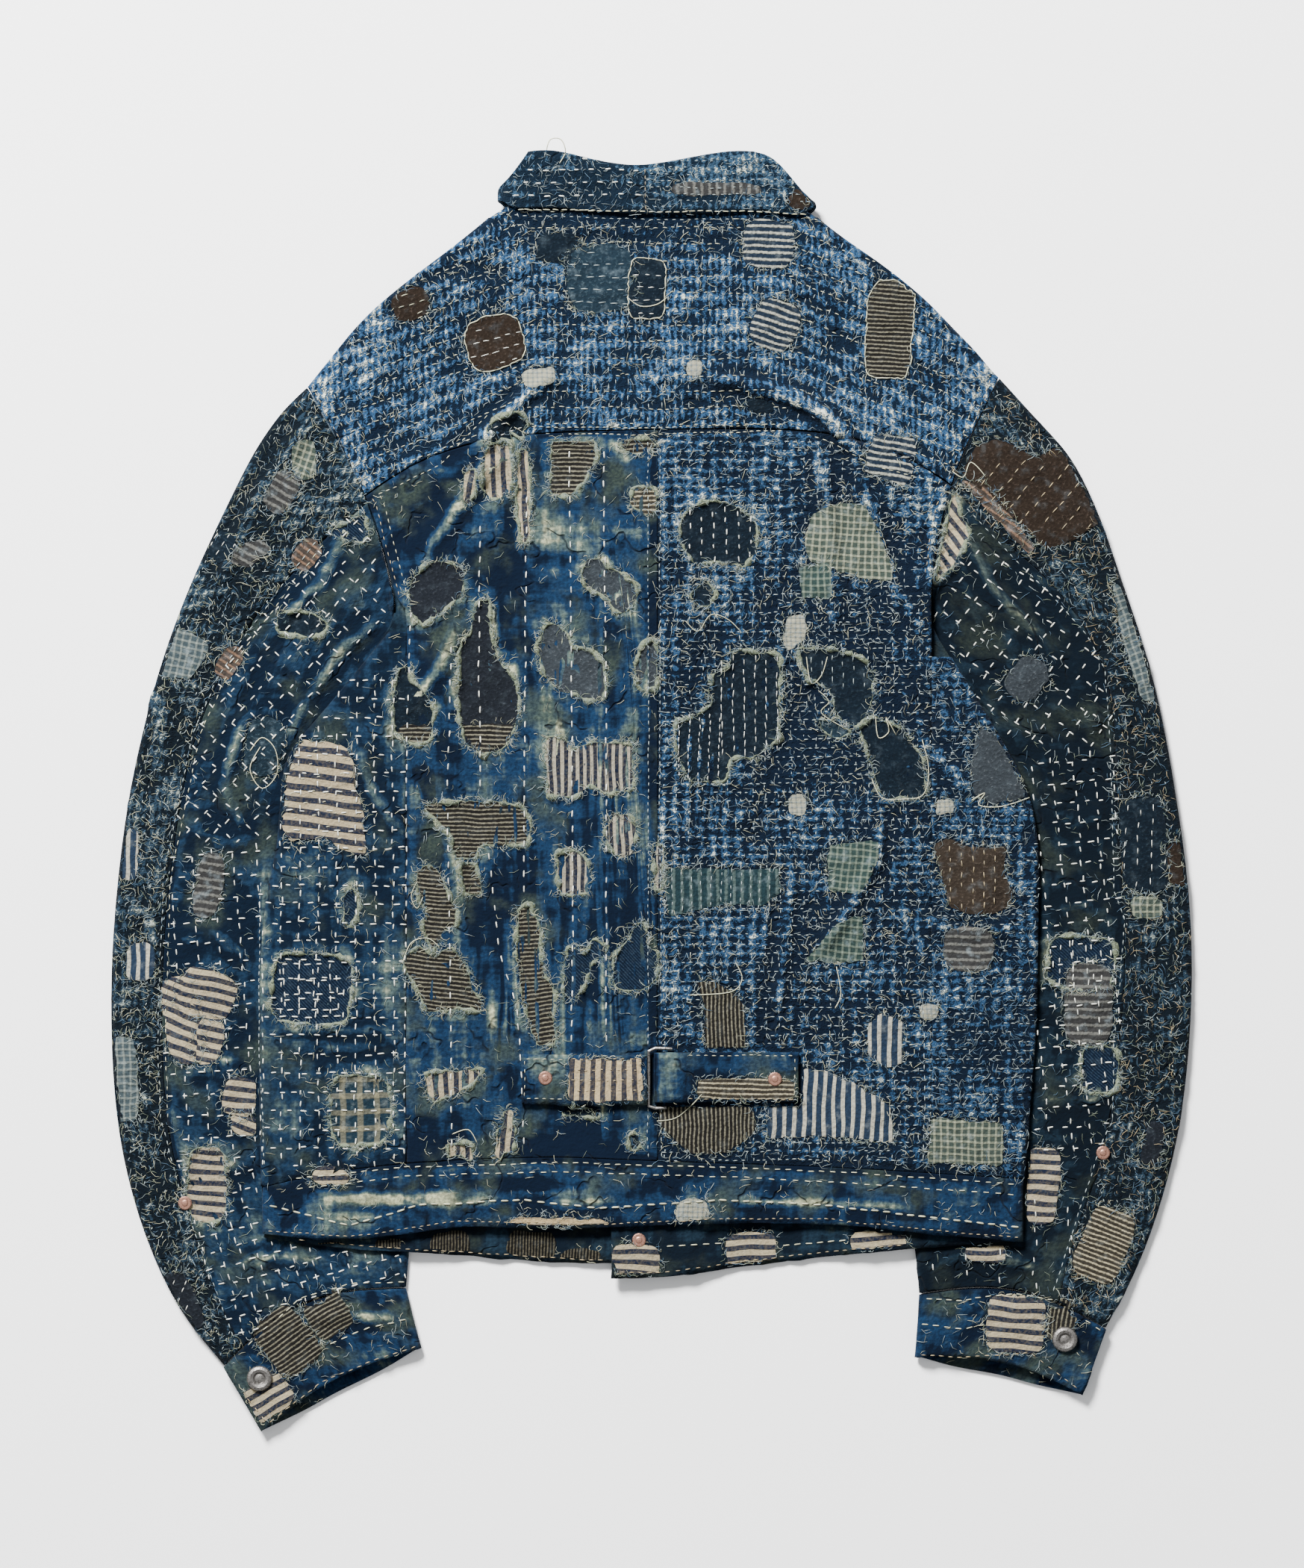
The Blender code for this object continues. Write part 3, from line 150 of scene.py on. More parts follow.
# Patches and worn holes with an outline of their own: cloth, turn of its weave in degrees, edge, outline
SHAPES = (
    ("charcoal", 0, "hole", ((589, 751), (604, 756), (623, 762), (623, 779), (614, 805), (589, 822),
     (568, 840), (555, 824), (547, 799), (551, 782), (566, 762))),
    ("grey", 10, "hole", ((788, 749), (803, 748), (812, 759), (838, 772), (855, 785), (853, 805),
     (838, 822), (825, 820), (815, 802), (800, 795), (783, 789), (780, 766))),
    ("grey", 10, "hole", ((732, 835), (745, 837), (759, 848), (768, 868), (788, 870), (808, 887),
     (812, 911), (810, 938), (785, 938), (768, 928), (749, 928), (735, 911), (725, 892), (719, 868))),
    ("charcoal", 0, "hole", ((639, 807), (656, 802), (657, 825), (661, 868), (672, 892), (692, 911),
     (696, 931), (692, 971), (676, 1001), (646, 1014), (623, 994), (615, 951), (616, 892), (619, 858),
     (634, 845))),
    ("rib", 0, "flat", ((620, 970), (690, 970), (676, 999), (646, 1011), (625, 994))),
    ("navy", 0, "hole", ((535, 895), (550, 893), (550, 911), (560, 921), (576, 935), (584, 951),
     (581, 971), (579, 994), (556, 999), (530, 981), (526, 951), (530, 925))),
    ("rib", 0, "flat", ((531, 971), (581, 971), (577, 993), (556, 997), (533, 984))),
    ("rib", 0, "hole", ((739, 593), (798, 591), (800, 616), (785, 643), (765, 666), (739, 664))),
    ("ticking", 88, "hole", ((657, 595), (684, 593), (687, 626), (686, 663), (659, 669), (647, 659),
     (649, 620))),
    ("ticking", 102, "hole", ((623, 638), (637, 628), (639, 656), (626, 681), (621, 669))),
    ("ticking", 88, "hole", ((695, 603), (706, 603), (710, 659), (710, 729), (699, 729), (692, 669))),
    ("rib_cream", 0, "hole", ((851, 653), (878, 654), (880, 688), (861, 689), (843, 676))),
    ("grey", 0, "hole", ((861, 862), (878, 858), (880, 921), (861, 928), (853, 918), (853, 888))),
    ("ticking_fine", 90, "hole", ((734, 986), (755, 988), (768, 1008), (778, 998), (812, 994), (847, 998),
     (849, 1057), (812, 1064), (792, 1051), (772, 1067), (734, 1067), (732, 1024))),
    ("rib", 0, "hole", ((565, 1078), (629, 1073), (676, 1075), (702, 1081), (711, 1103), (709, 1133),
     (663, 1131), (644, 1133), (639, 1148), (616, 1151), (608, 1143), (605, 1121), (586, 1100))),
    ("rib", 0, "hole", ((616, 1156), (636, 1154), (644, 1183), (646, 1199), (621, 1199), (618, 1183))),
    ("rib", 4, "hole", ((558, 1169), (570, 1159), (586, 1163), (593, 1179), (601, 1196), (613, 1222),
     (615, 1239), (593, 1246), (590, 1262), (580, 1275), (570, 1249), (566, 1236), (573, 1216),
     (563, 1206))),
    ("rib", 8, "hole", ((543, 1282), (563, 1266), (583, 1279), (606, 1267), (626, 1295), (633, 1325),
     (646, 1342), (643, 1355), (610, 1348), (596, 1355), (570, 1352), (561, 1325), (545, 1302))),
    ("rib", -6, "hole", ((697, 1216), (711, 1209), (716, 1229), (726, 1246), (726, 1279), (729, 1305),
     (744, 1332), (742, 1368), (746, 1385), (742, 1400), (719, 1398), (712, 1375), (701, 1345),
     (697, 1309), (692, 1275), (692, 1242))),
    ("ticking_fine", 90, "hole", ((746, 1141), (775, 1140), (789, 1153), (789, 1196), (762, 1199),
     (750, 1193))),
    ("ticking_fine", 88, "hole", ((810, 1110), (822, 1091), (842, 1090), (852, 1110), (850, 1140),
     (835, 1151), (815, 1136))),
    ("ticking_fine", 90, "hole", ((875, 1131), (888, 1131), (890, 1189), (878, 1193))),
    ("denim", 0, "hole", ((759, 1267), (775, 1271), (782, 1279), (795, 1257), (815, 1266), (809, 1279),
     (792, 1289), (792, 1302), (775, 1332), (755, 1335), (757, 1302))),
    ("denim", 0, "hole", ((858, 1232), (865, 1236), (866, 1269), (882, 1275), (880, 1312), (863, 1325),
     (828, 1325), (822, 1312), (823, 1282), (838, 1262))),
    ("ticking", 84, "hole", ((571, 1436), (649, 1431), (629, 1455), (583, 1476), (573, 1461))),
    ("ticking", 90, "hole", ((601, 1531), (633, 1531), (634, 1552), (601, 1553))),
    ("ticking", 96, "hole", ((676, 1488), (687, 1484), (687, 1504), (692, 1508), (686, 1551), (664, 1551),
     (666, 1514), (676, 1504))),
    ("navy", 0, "hole", ((750, 1481), (808, 1481), (802, 1497), (779, 1494), (755, 1491))),
    ("navy", 0, "hole", ((924, 681), (958, 670), (992, 681), (1014, 702), (1014, 739), (998, 759),
     (965, 752), (931, 757), (912, 729), (912, 702))),
    ("navy", 0, "hole", ((944, 776), (961, 796), (948, 813), (927, 810), (926, 796))),
    ("pinstripe", 10, "frayed", ((1171, 583), (1225, 587), (1225, 627), (1211, 654), (1157, 631),
     (1161, 607))),
    ("gingham", 4, "frayed", ((1086, 692), (1117, 675), (1157, 675), (1171, 702), (1191, 749), (1194, 779),
     (1157, 776), (1117, 763), (1083, 752), (1079, 722))),
    ("gingham_green", 0, "frayed", ((1069, 759), (1113, 752), (1113, 803), (1073, 800))),
    ("cream", 0, "frayed", ((1052, 827), (1076, 822), (1081, 844), (1079, 857), (1052, 874), (1049, 850))),
    ("navy", 0, "hole", ((983, 871), (1046, 877), (1042, 992), (1008, 1014), (981, 1016), (971, 1047),
     (924, 1047), (905, 1003), (907, 965), (931, 962), (953, 942), (954, 905), (978, 894))),
    ("navy", 0, "hole", ((1069, 867), (1117, 871), (1157, 884), (1169, 905), (1167, 945), (1150, 976),
     (1123, 962), (1110, 921), (1083, 911), (1073, 891))),
    ("navy", 0, "hole", ((1150, 972), (1171, 962), (1205, 976), (1235, 1013), (1240, 1067), (1184, 1070),
     (1171, 1043), (1161, 1003))),
    ("navy_faded", 0, "hole", ((1096, 962), (1117, 968), (1140, 980), (1125, 990), (1104, 982))),
    ("ticking", 52, "hole", ((1262, 685), (1279, 661), (1286, 692), (1299, 715), (1276, 759), (1254, 779),
     (1255, 732))),
    ("grey", 10, "frayed", ((1313, 972), (1347, 996), (1367, 1030), (1377, 1067), (1333, 1077),
     (1303, 1063), (1299, 1019))),
    ("green_lined", 90, "frayed", ((889, 1162), (991, 1165), (1043, 1162), (1046, 1196), (1015, 1214),
     (974, 1210), (894, 1227))),
    ("gingham_green", 6, "frayed", ((1110, 1131), (1177, 1126), (1175, 1152), (1153, 1196), (1108, 1193))),
    ("gingham_green", 6, "frayed", ((1122, 1234), (1156, 1224), (1156, 1286), (1122, 1289), (1080, 1286))),
    ("brown_faded", 5, "frayed", ((1249, 1131), (1270, 1121), (1294, 1134), (1346, 1134), (1344, 1169),
     (1356, 1200), (1342, 1221), (1301, 1224), (1270, 1214), (1259, 1169))),
    ("rib", 88, "frayed", ((934, 1313), (963, 1315), (996, 1341), (998, 1403), (946, 1406), (943, 1341))),
    ("ticking_dark", 92, "frayed", ((1163, 1369), (1180, 1355), (1211, 1369), (1208, 1424), (1184, 1427),
     (1160, 1410))),
    ("ticking_dark", 92, "frayed", ((1027, 1475), (1067, 1475), (1075, 1431), (1101, 1431), (1146, 1451),
     (1191, 1479), (1197, 1530), (1153, 1524), (1080, 1520), (1029, 1524))),
    ("rib", 90, "frayed", ((884, 1479), (922, 1478), (1008, 1478), (1012, 1513), (977, 1541), (929, 1544),
     (905, 1527), (881, 1499))),
    ("gingham", 0, "frayed", ((1246, 1496), (1342, 1503), (1342, 1559), (1242, 1556))),
    ("ticking_wide", 6, "frayed", ((404, 989), (465, 999), (476, 1021), (477, 1059), (487, 1079),
     (492, 1146), (461, 1139), (442, 1123), (388, 1126), (379, 1104), (382, 1050), (395, 1018))),
    ("navy", 0, "hole", ((372, 823), (398, 820), (423, 823), (442, 839), (430, 852), (410, 855),
     (372, 846))),
    ("denim", 0, "hole", ((442, 712), (471, 699), (490, 690), (497, 718), (487, 728), (455, 721))),
    ("gingham_pale", 14, "frayed", ((237, 839), (277, 859), (280, 871), (259, 910), (219, 906),
     (226, 871))),
    ("navy", 35, "frayed", ((286, 709), (312, 715), (321, 737), (296, 757), (277, 744))),
    ("brown_worn", 30, "frayed", ((312, 737), (350, 721), (366, 737), (334, 760), (312, 757))),
    ("brown", 30, "frayed", ((1285, 630), (1307, 600), (1342, 589), (1386, 615), (1415, 599), (1445, 626),
     (1470, 670), (1474, 700), (1456, 711), (1437, 725), (1401, 736), (1371, 707), (1327, 670),
     (1305, 656))),
    ("rust", 36, "frayed", ((1287, 645), (1316, 645), (1386, 733), (1379, 744), (1327, 692))),
    ("gingham_pale", -17, "frayed", ((1489, 781), (1507, 788), (1548, 939), (1529, 939), (1504, 865))),
)
# The simpler ones: cloth, turn of its weave, edge, box, turn of the box, how square its corners are
BOXES = (
    ("navy", 0, "frayed", 719, 313, 775, 355, 8, 5), ("navy", 0, "corded", 842, 348, 892, 429, 3, 6),
    ("navy_faded", 0, "frayed", 760, 330, 850, 420, -6, 4),
    ("pinstripe", 2, "frayed", 996, 296, 1063, 362, 8, 4),
    ("pinstripe", 15, "frayed", 1007, 404, 1070, 471, 20, 3),
    ("brown", -15, "corded", 625, 425, 702, 496, -18, 4),
    ("brown", -15, "frayed", 525, 388, 577, 430, -20, 3), ("rib", 4, "corded", 1160, 378, 1223, 509, 4, 5),
    ("cream", 0, "frayed", 700, 494, 744, 520, -8, 5), ("cream", 0, "frayed", 919, 485, 941, 506, 0, 5),
    ("navy", 0, "hole", 655, 558, 708, 594, -18, 5), ("navy", 0, "frayed", 1000, 535, 1036, 556, 12, 3),
    ("rib", 0, "hole", 831, 589, 877, 607, 0, 3), ("navy", 0, "hole", 843, 1515, 858, 1539, 0, 2),
    ("denim", 0, "hole", 461, 1188, 482, 1240, 4, 2), ("denim", 0, "hole", 367, 1278, 472, 1370, 4, 6),
    ("plaid", 0, "hole", 445, 1440, 523, 1532, 0, 5), ("ticking", 0, "frayed", 420, 1560, 470, 1585, 0, 4),
    ("cream", 0, "frayed", 1231, 1343, 1256, 1364, 0, 7),
    ("cream", 0, "frayed", 1252, 1070, 1276, 1091, 0, 6),
    ("cream", 0, "frayed", 1056, 1063, 1080, 1091, 0, 6),
    ("brown_worn", 0, "frayed", 1262, 1240, 1330, 1300, 0, 3),
    ("apricot", 0, "frayed", 681, 1630, 816, 1645, 1, 5),
    ("cream", 0, "frayed", 905, 1604, 950, 1640, 0, 3),
    ("ticking", 2, "frayed", 820, 1666, 884, 1712, 4, 6),
    ("ticking", -3, "frayed", 972, 1650, 1040, 1696, 0, 6),
    ("ticking", -4, "frayed", 1140, 1647, 1212, 1676, 0, 6),
    ("rib_black", 92, "flat", 503, 1653, 538, 1680, 3, 4),
    ("rib_black", 92, "flat", 577, 1646, 630, 1690, 3, 4),
    ("rib_black", 92, "flat", 680, 1646, 745, 1688, 3, 4),
    ("rib_black", 92, "flat", 750, 1672, 808, 1697, 3, 4),
    ("rib_black", 92, "flat", 400, 1655, 460, 1674, 4, 4),
    ("gingham", 20, "frayed", 393, 590, 425, 643, 0, 4),
    ("brown_worn", 30, "frayed", 360, 630, 398, 690, 30, 4),
    ("rust", 35, "frayed", 396, 722, 428, 766, 38, 4), ("rust", 30, "frayed", 294, 864, 323, 910, 30, 4),
    ("ticking_dark", 92, "frayed", 163, 1109, 187, 1180, 3, 5),
    ("ticking_dark", 92, "frayed", 170, 1262, 209, 1313, 0, 5),
    ("gingham_pale", 0, "frayed", 151, 1388, 186, 1502, -3, 6),
    ("ticking", 14, "frayed", 240, 1298, 316, 1362, 18, 4),
    ("ticking", 22, "frayed", 222, 1306, 268, 1424, -8, 4),
    ("ticking", 10, "frayed", 262, 1360, 300, 1426, 10, 3),
    ("ticking", 8, "frayed", 300, 1442, 346, 1494, 16, 4),
    ("ticking", 20, "frayed", 310, 1492, 346, 1518, 20, 4),
    ("ticking", 6, "hole", 253, 1535, 304, 1636, 0, 4),
    ("brown_worn", 10, "frayed", 262, 1140, 300, 1230, 10, 3),
    ("charcoal", 0, "frayed", 222, 1700, 266, 1786, -24, 5),
    ("rib", -35, "frayed", 352, 1752, 420, 1838, -40, 6),
    ("rib", -30, "frayed", 414, 1732, 468, 1788, -30, 6),
    ("ticking", -30, "frayed", 324, 1846, 392, 1896, -35, 6),
    ("navy", 0, "frayed", 1500, 1068, 1562, 1194, -4, 6),
    ("brown", 0, "frayed", 1562, 1128, 1592, 1186, -4, 6),
    ("gingham", 0, "frayed", 1514, 1200, 1556, 1230, 4, 6),
    ("rib_cream", 20, "frayed", 1446, 1616, 1510, 1716, 22, 5),
    ("denim", 0, "hole", 1404, 1254, 1492, 1324, 4, 5), ("denim", 0, "hole", 1447, 1400, 1497, 1463, 0, 5),
    ("ticking", 2, "frayed", 1371, 1535, 1418, 1638, 6, 5),
    ("ticking", 0, "frayed", 1294, 1662, 1346, 1690, 4, 5),
    ("ticking", 4, "frayed", 1321, 1732, 1399, 1810, 4, 6),
    ("rib", 100, "frayed", 1402, 1738, 1440, 1796, 10, 5),
    ("brown_worn", 0, "frayed", 1425, 1290, 1490, 1400, 0, 4),
    ("charcoal", 0, "frayed", 1530, 1500, 1556, 1560, 14, 5),
    ("brown", 0, "frayed", 1057, 257, 1086, 284, 30, 4),
    ("brown_worn", 90, "flat", 900, 248, 1020, 264, 0, 6),
    ("ticking_apricot", 90, "frayed", 762, 1412, 864, 1477, 1, 8),
    ("rib_cream", 2, "frayed", 934, 1444, 1068, 1473, 2, 8),
    ("grey", 0, "frayed", 1350, 880, 1400, 940, 40, 3),
    ("navy_faded", 0, "frayed", 330, 960, 380, 1040, 10, 3),
)
# Long loose threads that lie on the cloth, through these points
LOOSE = (
    ((918, 832), (935, 846), (952, 824), (975, 830), (993, 847)),
    ((1166, 1040), (1180, 1068), (1210, 1070), (1236, 1064), (1243, 1030), (1234, 990)),
    ((1300, 1072), (1318, 1062), (1310, 1078), (1340, 1080), (1378, 1068)),
    ((1080, 880), (1086, 915), (1100, 905), (1108, 880)),
    ((1096, 925), (1110, 940), (1100, 955), (1130, 975)),
    ((1172, 960), (1176, 988), (1190, 980), (1186, 962), (1200, 985)),
    ((985, 1288), (994, 1310), (978, 1328), (920, 1332)),
    ((880, 1500), (905, 1496), (925, 1480), (940, 1464)), ((1120, 1294), (1126, 1330), (1118, 1350)),
    ((732, 206), (738, 190), (752, 190), (758, 206), (750, 222)),
    ((560, 1180), (552, 1200), (560, 1216), (568, 1200)), ((840, 400), (858, 412), (880, 410), (894, 400)),
    ((1275, 632), (1290, 640), (1300, 620), (1320, 640)),
    ((350, 1000), (336, 1030), (352, 1056), (372, 1036), (370, 1004), (352, 988), (336, 1006)),
    ((540, 1290), (552, 1262), (574, 1256), (590, 1268)), ((1470, 640), (1488, 664), (1496, 690)),
    ((1520, 800), (1548, 870), (1562, 920), (1556, 940)), ((640, 1530), (628, 1512), (606, 1518)),
)
# Turned edges that fill the seams, through these points
SEAMS = (
    ((418, 529), (432, 553), (451, 587), (471, 627), (487, 652)),
)

# Long lines of running stitches: points, pitch, stitch length, thread's radius in mm, colour
LINES = (
    (((552, 815), (546, 1000), (545, 1200), (543, 1550)), 18, 8, 0.5, "white"),
    (((644, 700), (642, 900), (645, 1060)), 20, 9, 0.5, "white"),
    (((706, 640), (704, 900), (702, 1200)), 20, 9, 0.5, "white"),
    (((655, 1136), (669, 1272), (692, 1345), (698, 1405), (703, 1560)), 20, 9, 0.5, "white"),
    (((763, 600), (766, 900), (768, 1240), (766, 1400)), 20, 9, 0.5, "white"),
    (((809, 600), (812, 900), (813, 1250), (812, 1400)), 20, 9, 0.5, "white"),
    (((606, 860), (600, 1060), (604, 1300), (606, 1540)), 21, 9, 0.5, "white"),
    (((868, 592), (869, 1000), (868, 1400)), 9, 6, 0.32, "pale"),
    (((885, 592), (884, 1000), (886, 1400)), 9, 6, 0.32, "pale"),
    (((868, 1480), (868, 1550)), 9, 6, 0.32, "pale"), (((886, 1480), (886, 1550)), 9, 6, 0.32, "pale"),
    (((712, 582), (880, 583), (1050, 578)), 9, 6, 0.34, "cream"),
    (((712, 573), (880, 574), (1050, 569)), 9, 6, 0.34, "cream"),
    (((708, 583), (655, 556), (590, 624), (506, 664)), 10, 6, 0.32, "cream"),
    (((1056, 575), (1110, 592), (1168, 624), (1258, 648)), 10, 6, 0.32, "cream"),
    (((418, 516), (470, 616), (504, 676), (536, 800)), 10, 6, 0.34, "apricot"),
    (((428, 512), (480, 610), (514, 672), (546, 796)), 10, 6, 0.34, "cream"),
    (((1326, 508), (1302, 576), (1275, 636), (1252, 680), (1238, 770)), 10, 6, 0.34, "apricot"),
    (((1316, 508), (1292, 574), (1265, 634), (1242, 680)), 10, 6, 0.34, "cream"),
    (((395, 1577), (540, 1562), (751, 1556), (961, 1562), (1137, 1569), (1360, 1584)),
     14, 8, 0.36, "cream"),
    (((395, 1591), (540, 1574), (751, 1568), (961, 1574), (1137, 1583), (1360, 1598)),
     15, 8, 0.36, "cream"),
    (((360, 1612), (470, 1640), (560, 1612), (700, 1606), (800, 1616), (961, 1606), (1102, 1612),
     (1242, 1628), (1366, 1642)), 15, 10, 0.62, "cream"),
    (((358, 1646), (470, 1655), (611, 1634), (807, 1638), (961, 1631), (1102, 1631), (1242, 1645),
     (1366, 1656)), 10, 6, 0.3, "apricot"),
    (((670, 283), (740, 284), (867, 286), (1000, 286), (1092, 290)), 11, 8, 0.36, "cream"),
    (((667, 290), (740, 292), (867, 296), (1000, 296)), 10, 6, 0.28, "pale"),
    (((864, 228), (865, 285)), 8, 6, 0.3, "apricot"),
    (((426, 725), (389, 770), (320, 866), (289, 914), (259, 984), (245, 1050), (220, 1180), (216, 1295),
     (213, 1400), (217, 1500), (246, 1606), (322, 1812)), 11, 7, 0.34, "pale"),
    (((436, 728), (399, 773), (330, 868), (299, 916), (269, 986), (255, 1052), (229, 1182), (226, 1297),
     (223, 1400), (227, 1500)), 12, 7, 0.34, "cream"),
    (((1293, 680), (1359, 750), (1412, 802), (1456, 852), (1480, 898), (1486, 998), (1489, 1080),
     (1491, 1192), (1506, 1234), (1499, 1312), (1491, 1395), (1489, 1500), (1470, 1545), (1409, 1730)),
     11, 7, 0.34, "pale"),
    (((310, 1822), (352, 1782), (402, 1738), (468, 1718), (545, 1715)), 13, 8, 0.36, "cream"),
    (((330, 1868), (360, 1905), (392, 1880), (430, 1850), (488, 1826), (560, 1800)),
     12, 7, 0.34, "apricot"),
    (((440, 1800), (500, 1775), (548, 1765)), 15, 9, 0.4, "cream"),
    (((1238, 1738), (1290, 1740), (1358, 1731), (1413, 1740), (1476, 1782)), 13, 8, 0.36, "cream"),
    (((1232, 1772), (1290, 1778), (1322, 1772)), 14, 9, 0.4, "cream"),
    (((1230, 1812), (1290, 1816), (1379, 1810), (1445, 1860)), 12, 7, 0.34, "apricot"),
    (((400, 1659), (505, 1669), (709, 1682), (812, 1688)), 12, 7, 0.3, "apricot"),
    (((828, 1702), (888, 1703), (982, 1690), (1102, 1676), (1210, 1666)), 12, 7, 0.3, "apricot"),
    (((890, 1668), (970, 1664)), 14, 9, 0.42, "cream"),
    (((1046, 1668), (1136, 1660)), 14, 9, 0.42, "cream"), (((704, 1418), (756, 1417)), 10, 6, 0.3, "cream"),
    (((704, 1470), (756, 1471)), 10, 6, 0.3, "cream"), (((704, 1418), (703, 1470)), 10, 6, 0.3, "cream"),
    (((920, 1412), (1064, 1413)), 10, 6, 0.3, "cream"), (((1065, 1415), (1064, 1468)), 10, 6, 0.3, "cream"),
    (((920, 1470), (1064, 1471)), 10, 6, 0.3, "apricot"),
    (((350, 1180), (348, 1400), (356, 1560)), 9, 6, 0.34, "pale"),
    (((1236, 1350), (1238, 1450), (1236, 1555)), 13, 8, 0.34, "pale"),
)

# Fields of running stitches: panel, box, directions of the rows in degrees, spacing, pitch, stitch length,
# thread's radius in mm, colour, share left out, whether they cross the patches
FIELDS = (
    ("collar", 688, 214, 862, 272, (0,), 16, 20, 8, 0.48, "white", 0.02, 1),
    ("collar", 868, 210, 1092, 280, (0,), 9, 10, 5, 0.3, "pale", 0.2, 1),
    ("yoke", 400, 260, 705, 700, (21,), 22, 11, 7, 0.32, "cream", 0.1, 0),
    ("yoke", 705, 280, 1060, 570, (0,), 22, 11, 7, 0.32, "cream", 0.1, 0),
    ("yoke", 1060, 280, 1340, 700, (-21,), 22, 11, 7, 0.32, "cream", 0.1, 0),
    ("yoke", 400, 260, 705, 700, (111,), 9, 22, 8, 0.3, "pale", 0.35, 0),
    ("yoke", 705, 280, 1060, 570, (90,), 9, 22, 8, 0.3, "pale", 0.35, 0),
    ("yoke", 1060, 280, 1340, 700, (69,), 9, 22, 8, 0.3, "pale", 0.35, 0),
    ("back_right", 886, 590, 1250, 1560, (0,), 12, 10, 6, 0.32, "pale", 0.3, 0),
    ("back_right", 886, 590, 1250, 1560, (90,), 17, 9, 5, 0.32, "pale", 0.5, 0),
    ("back_side_right", 1240, 850, 1400, 1560, (0,), 12, 10, 6, 0.32, "pale", 0.35, 0),
    ("back_side_left", 350, 900, 545, 1560, (0, 90), 25, 19, 8, 0.46, "white", 0.04, 1),
    ("sleeve_left_inner", 230, 690, 540, 1130, (48, -42), 28, 19, 8, 0.46, "white", 0.08, 1),
    ("sleeve_left_inner", 216, 1130, 380, 1560, (4, 94), 29, 19, 8, 0.46, "white", 0.08, 0),
    ("sleeve_left_inner", 240, 1560, 560, 1830, (15, 105), 23, 19, 8, 0.46, "white", 0.05, 0),
    ("sleeve_right_inner", 1230, 740, 1500, 1000, (-35, 55), 34, 20, 8, 0.48, "white", 0.04, 0),
    ("sleeve_right_inner", 1380, 1000, 1500, 1540, (6, 96), 27, 19, 8, 0.46, "white", 0.06, 1),
    ("sleeve_right_inner", 1220, 1600, 1480, 1740, (90,), 46, 19, 8, 0.46, "white", 0.06, 1),
    ("sleeve_left_outer", 130, 500, 560, 1840, (70,), 16, 11, 5, 0.28, "pale", 0.45, 0),
    ("sleeve_right_outer", 1200, 500, 1620, 1840, (-72,), 18, 11, 5, 0.28, "pale", 0.55, 0),
    ("back_left", 905, 1600, 960, 1645, (0,), 12, 10, 5, 0.3, "pale", 0.3, 1),
)
# Stitches on single patches: box of the patch's middle, direction, spacing, pitch, stitch length, thread's
# radius in mm, colour
PATCH_FIELDS = (
    (920, 682, 1008, 750, 90, 16, 15, 7, 0.42, "white"),
    (955, 880, 1052, 1010, 90, 15, 12, 9, 0.3, "white"), (908, 958, 966, 1046, 90, 13, 9, 7, 0.3, "white"),
    (632, 440, 698, 488, 14, 16, 15, 9, 0.3, "white"), (848, 358, 886, 424, 0, 17, 15, 8, 0.3, "white"),
    (765, 340, 845, 410, 0, 17, 16, 9, 0.34, "pale"),
    (1262, 1128, 1345, 1218, 90, 15, 14, 8, 0.34, "apricot"),
    (375, 1290, 462, 1362, 0, 20, 15, 8, 0.42, "white"),
    (375, 1290, 462, 1362, 90, 20, 15, 8, 0.42, "white"),
    (894, 1160, 1040, 1222, 90, 13, 11, 7, 0.28, "pale"),
    (1504, 1076, 1560, 1188, 86, 18, 16, 9, 0.3, "white"),
    (1310, 620, 1460, 710, 50, 24, 16, 9, 0.34, "apricot"),
    (1080, 874, 1160, 924, 90, 14, 14, 8, 0.28, "pale"), (530, 394, 572, 424, 20, 13, 14, 8, 0.34, "cream"),
    (283, 710, 316, 750, 60, 13, 13, 7, 0.3, "white"), (766, 1416, 860, 1472, 0, 14, 11, 5, 0.3, "apricot"),
    (385, 1000, 465, 1140, 8, 17, 26, 6, 0.34, "cream"),
    (224, 1708, 256, 1782, 70, 13, 13, 8, 0.3, "white"),
    (1410, 1262, 1486, 1318, 90, 18, 15, 8, 0.4, "white"),
    (664, 566, 702, 590, 20, 12, 12, 7, 0.3, "white"),
)

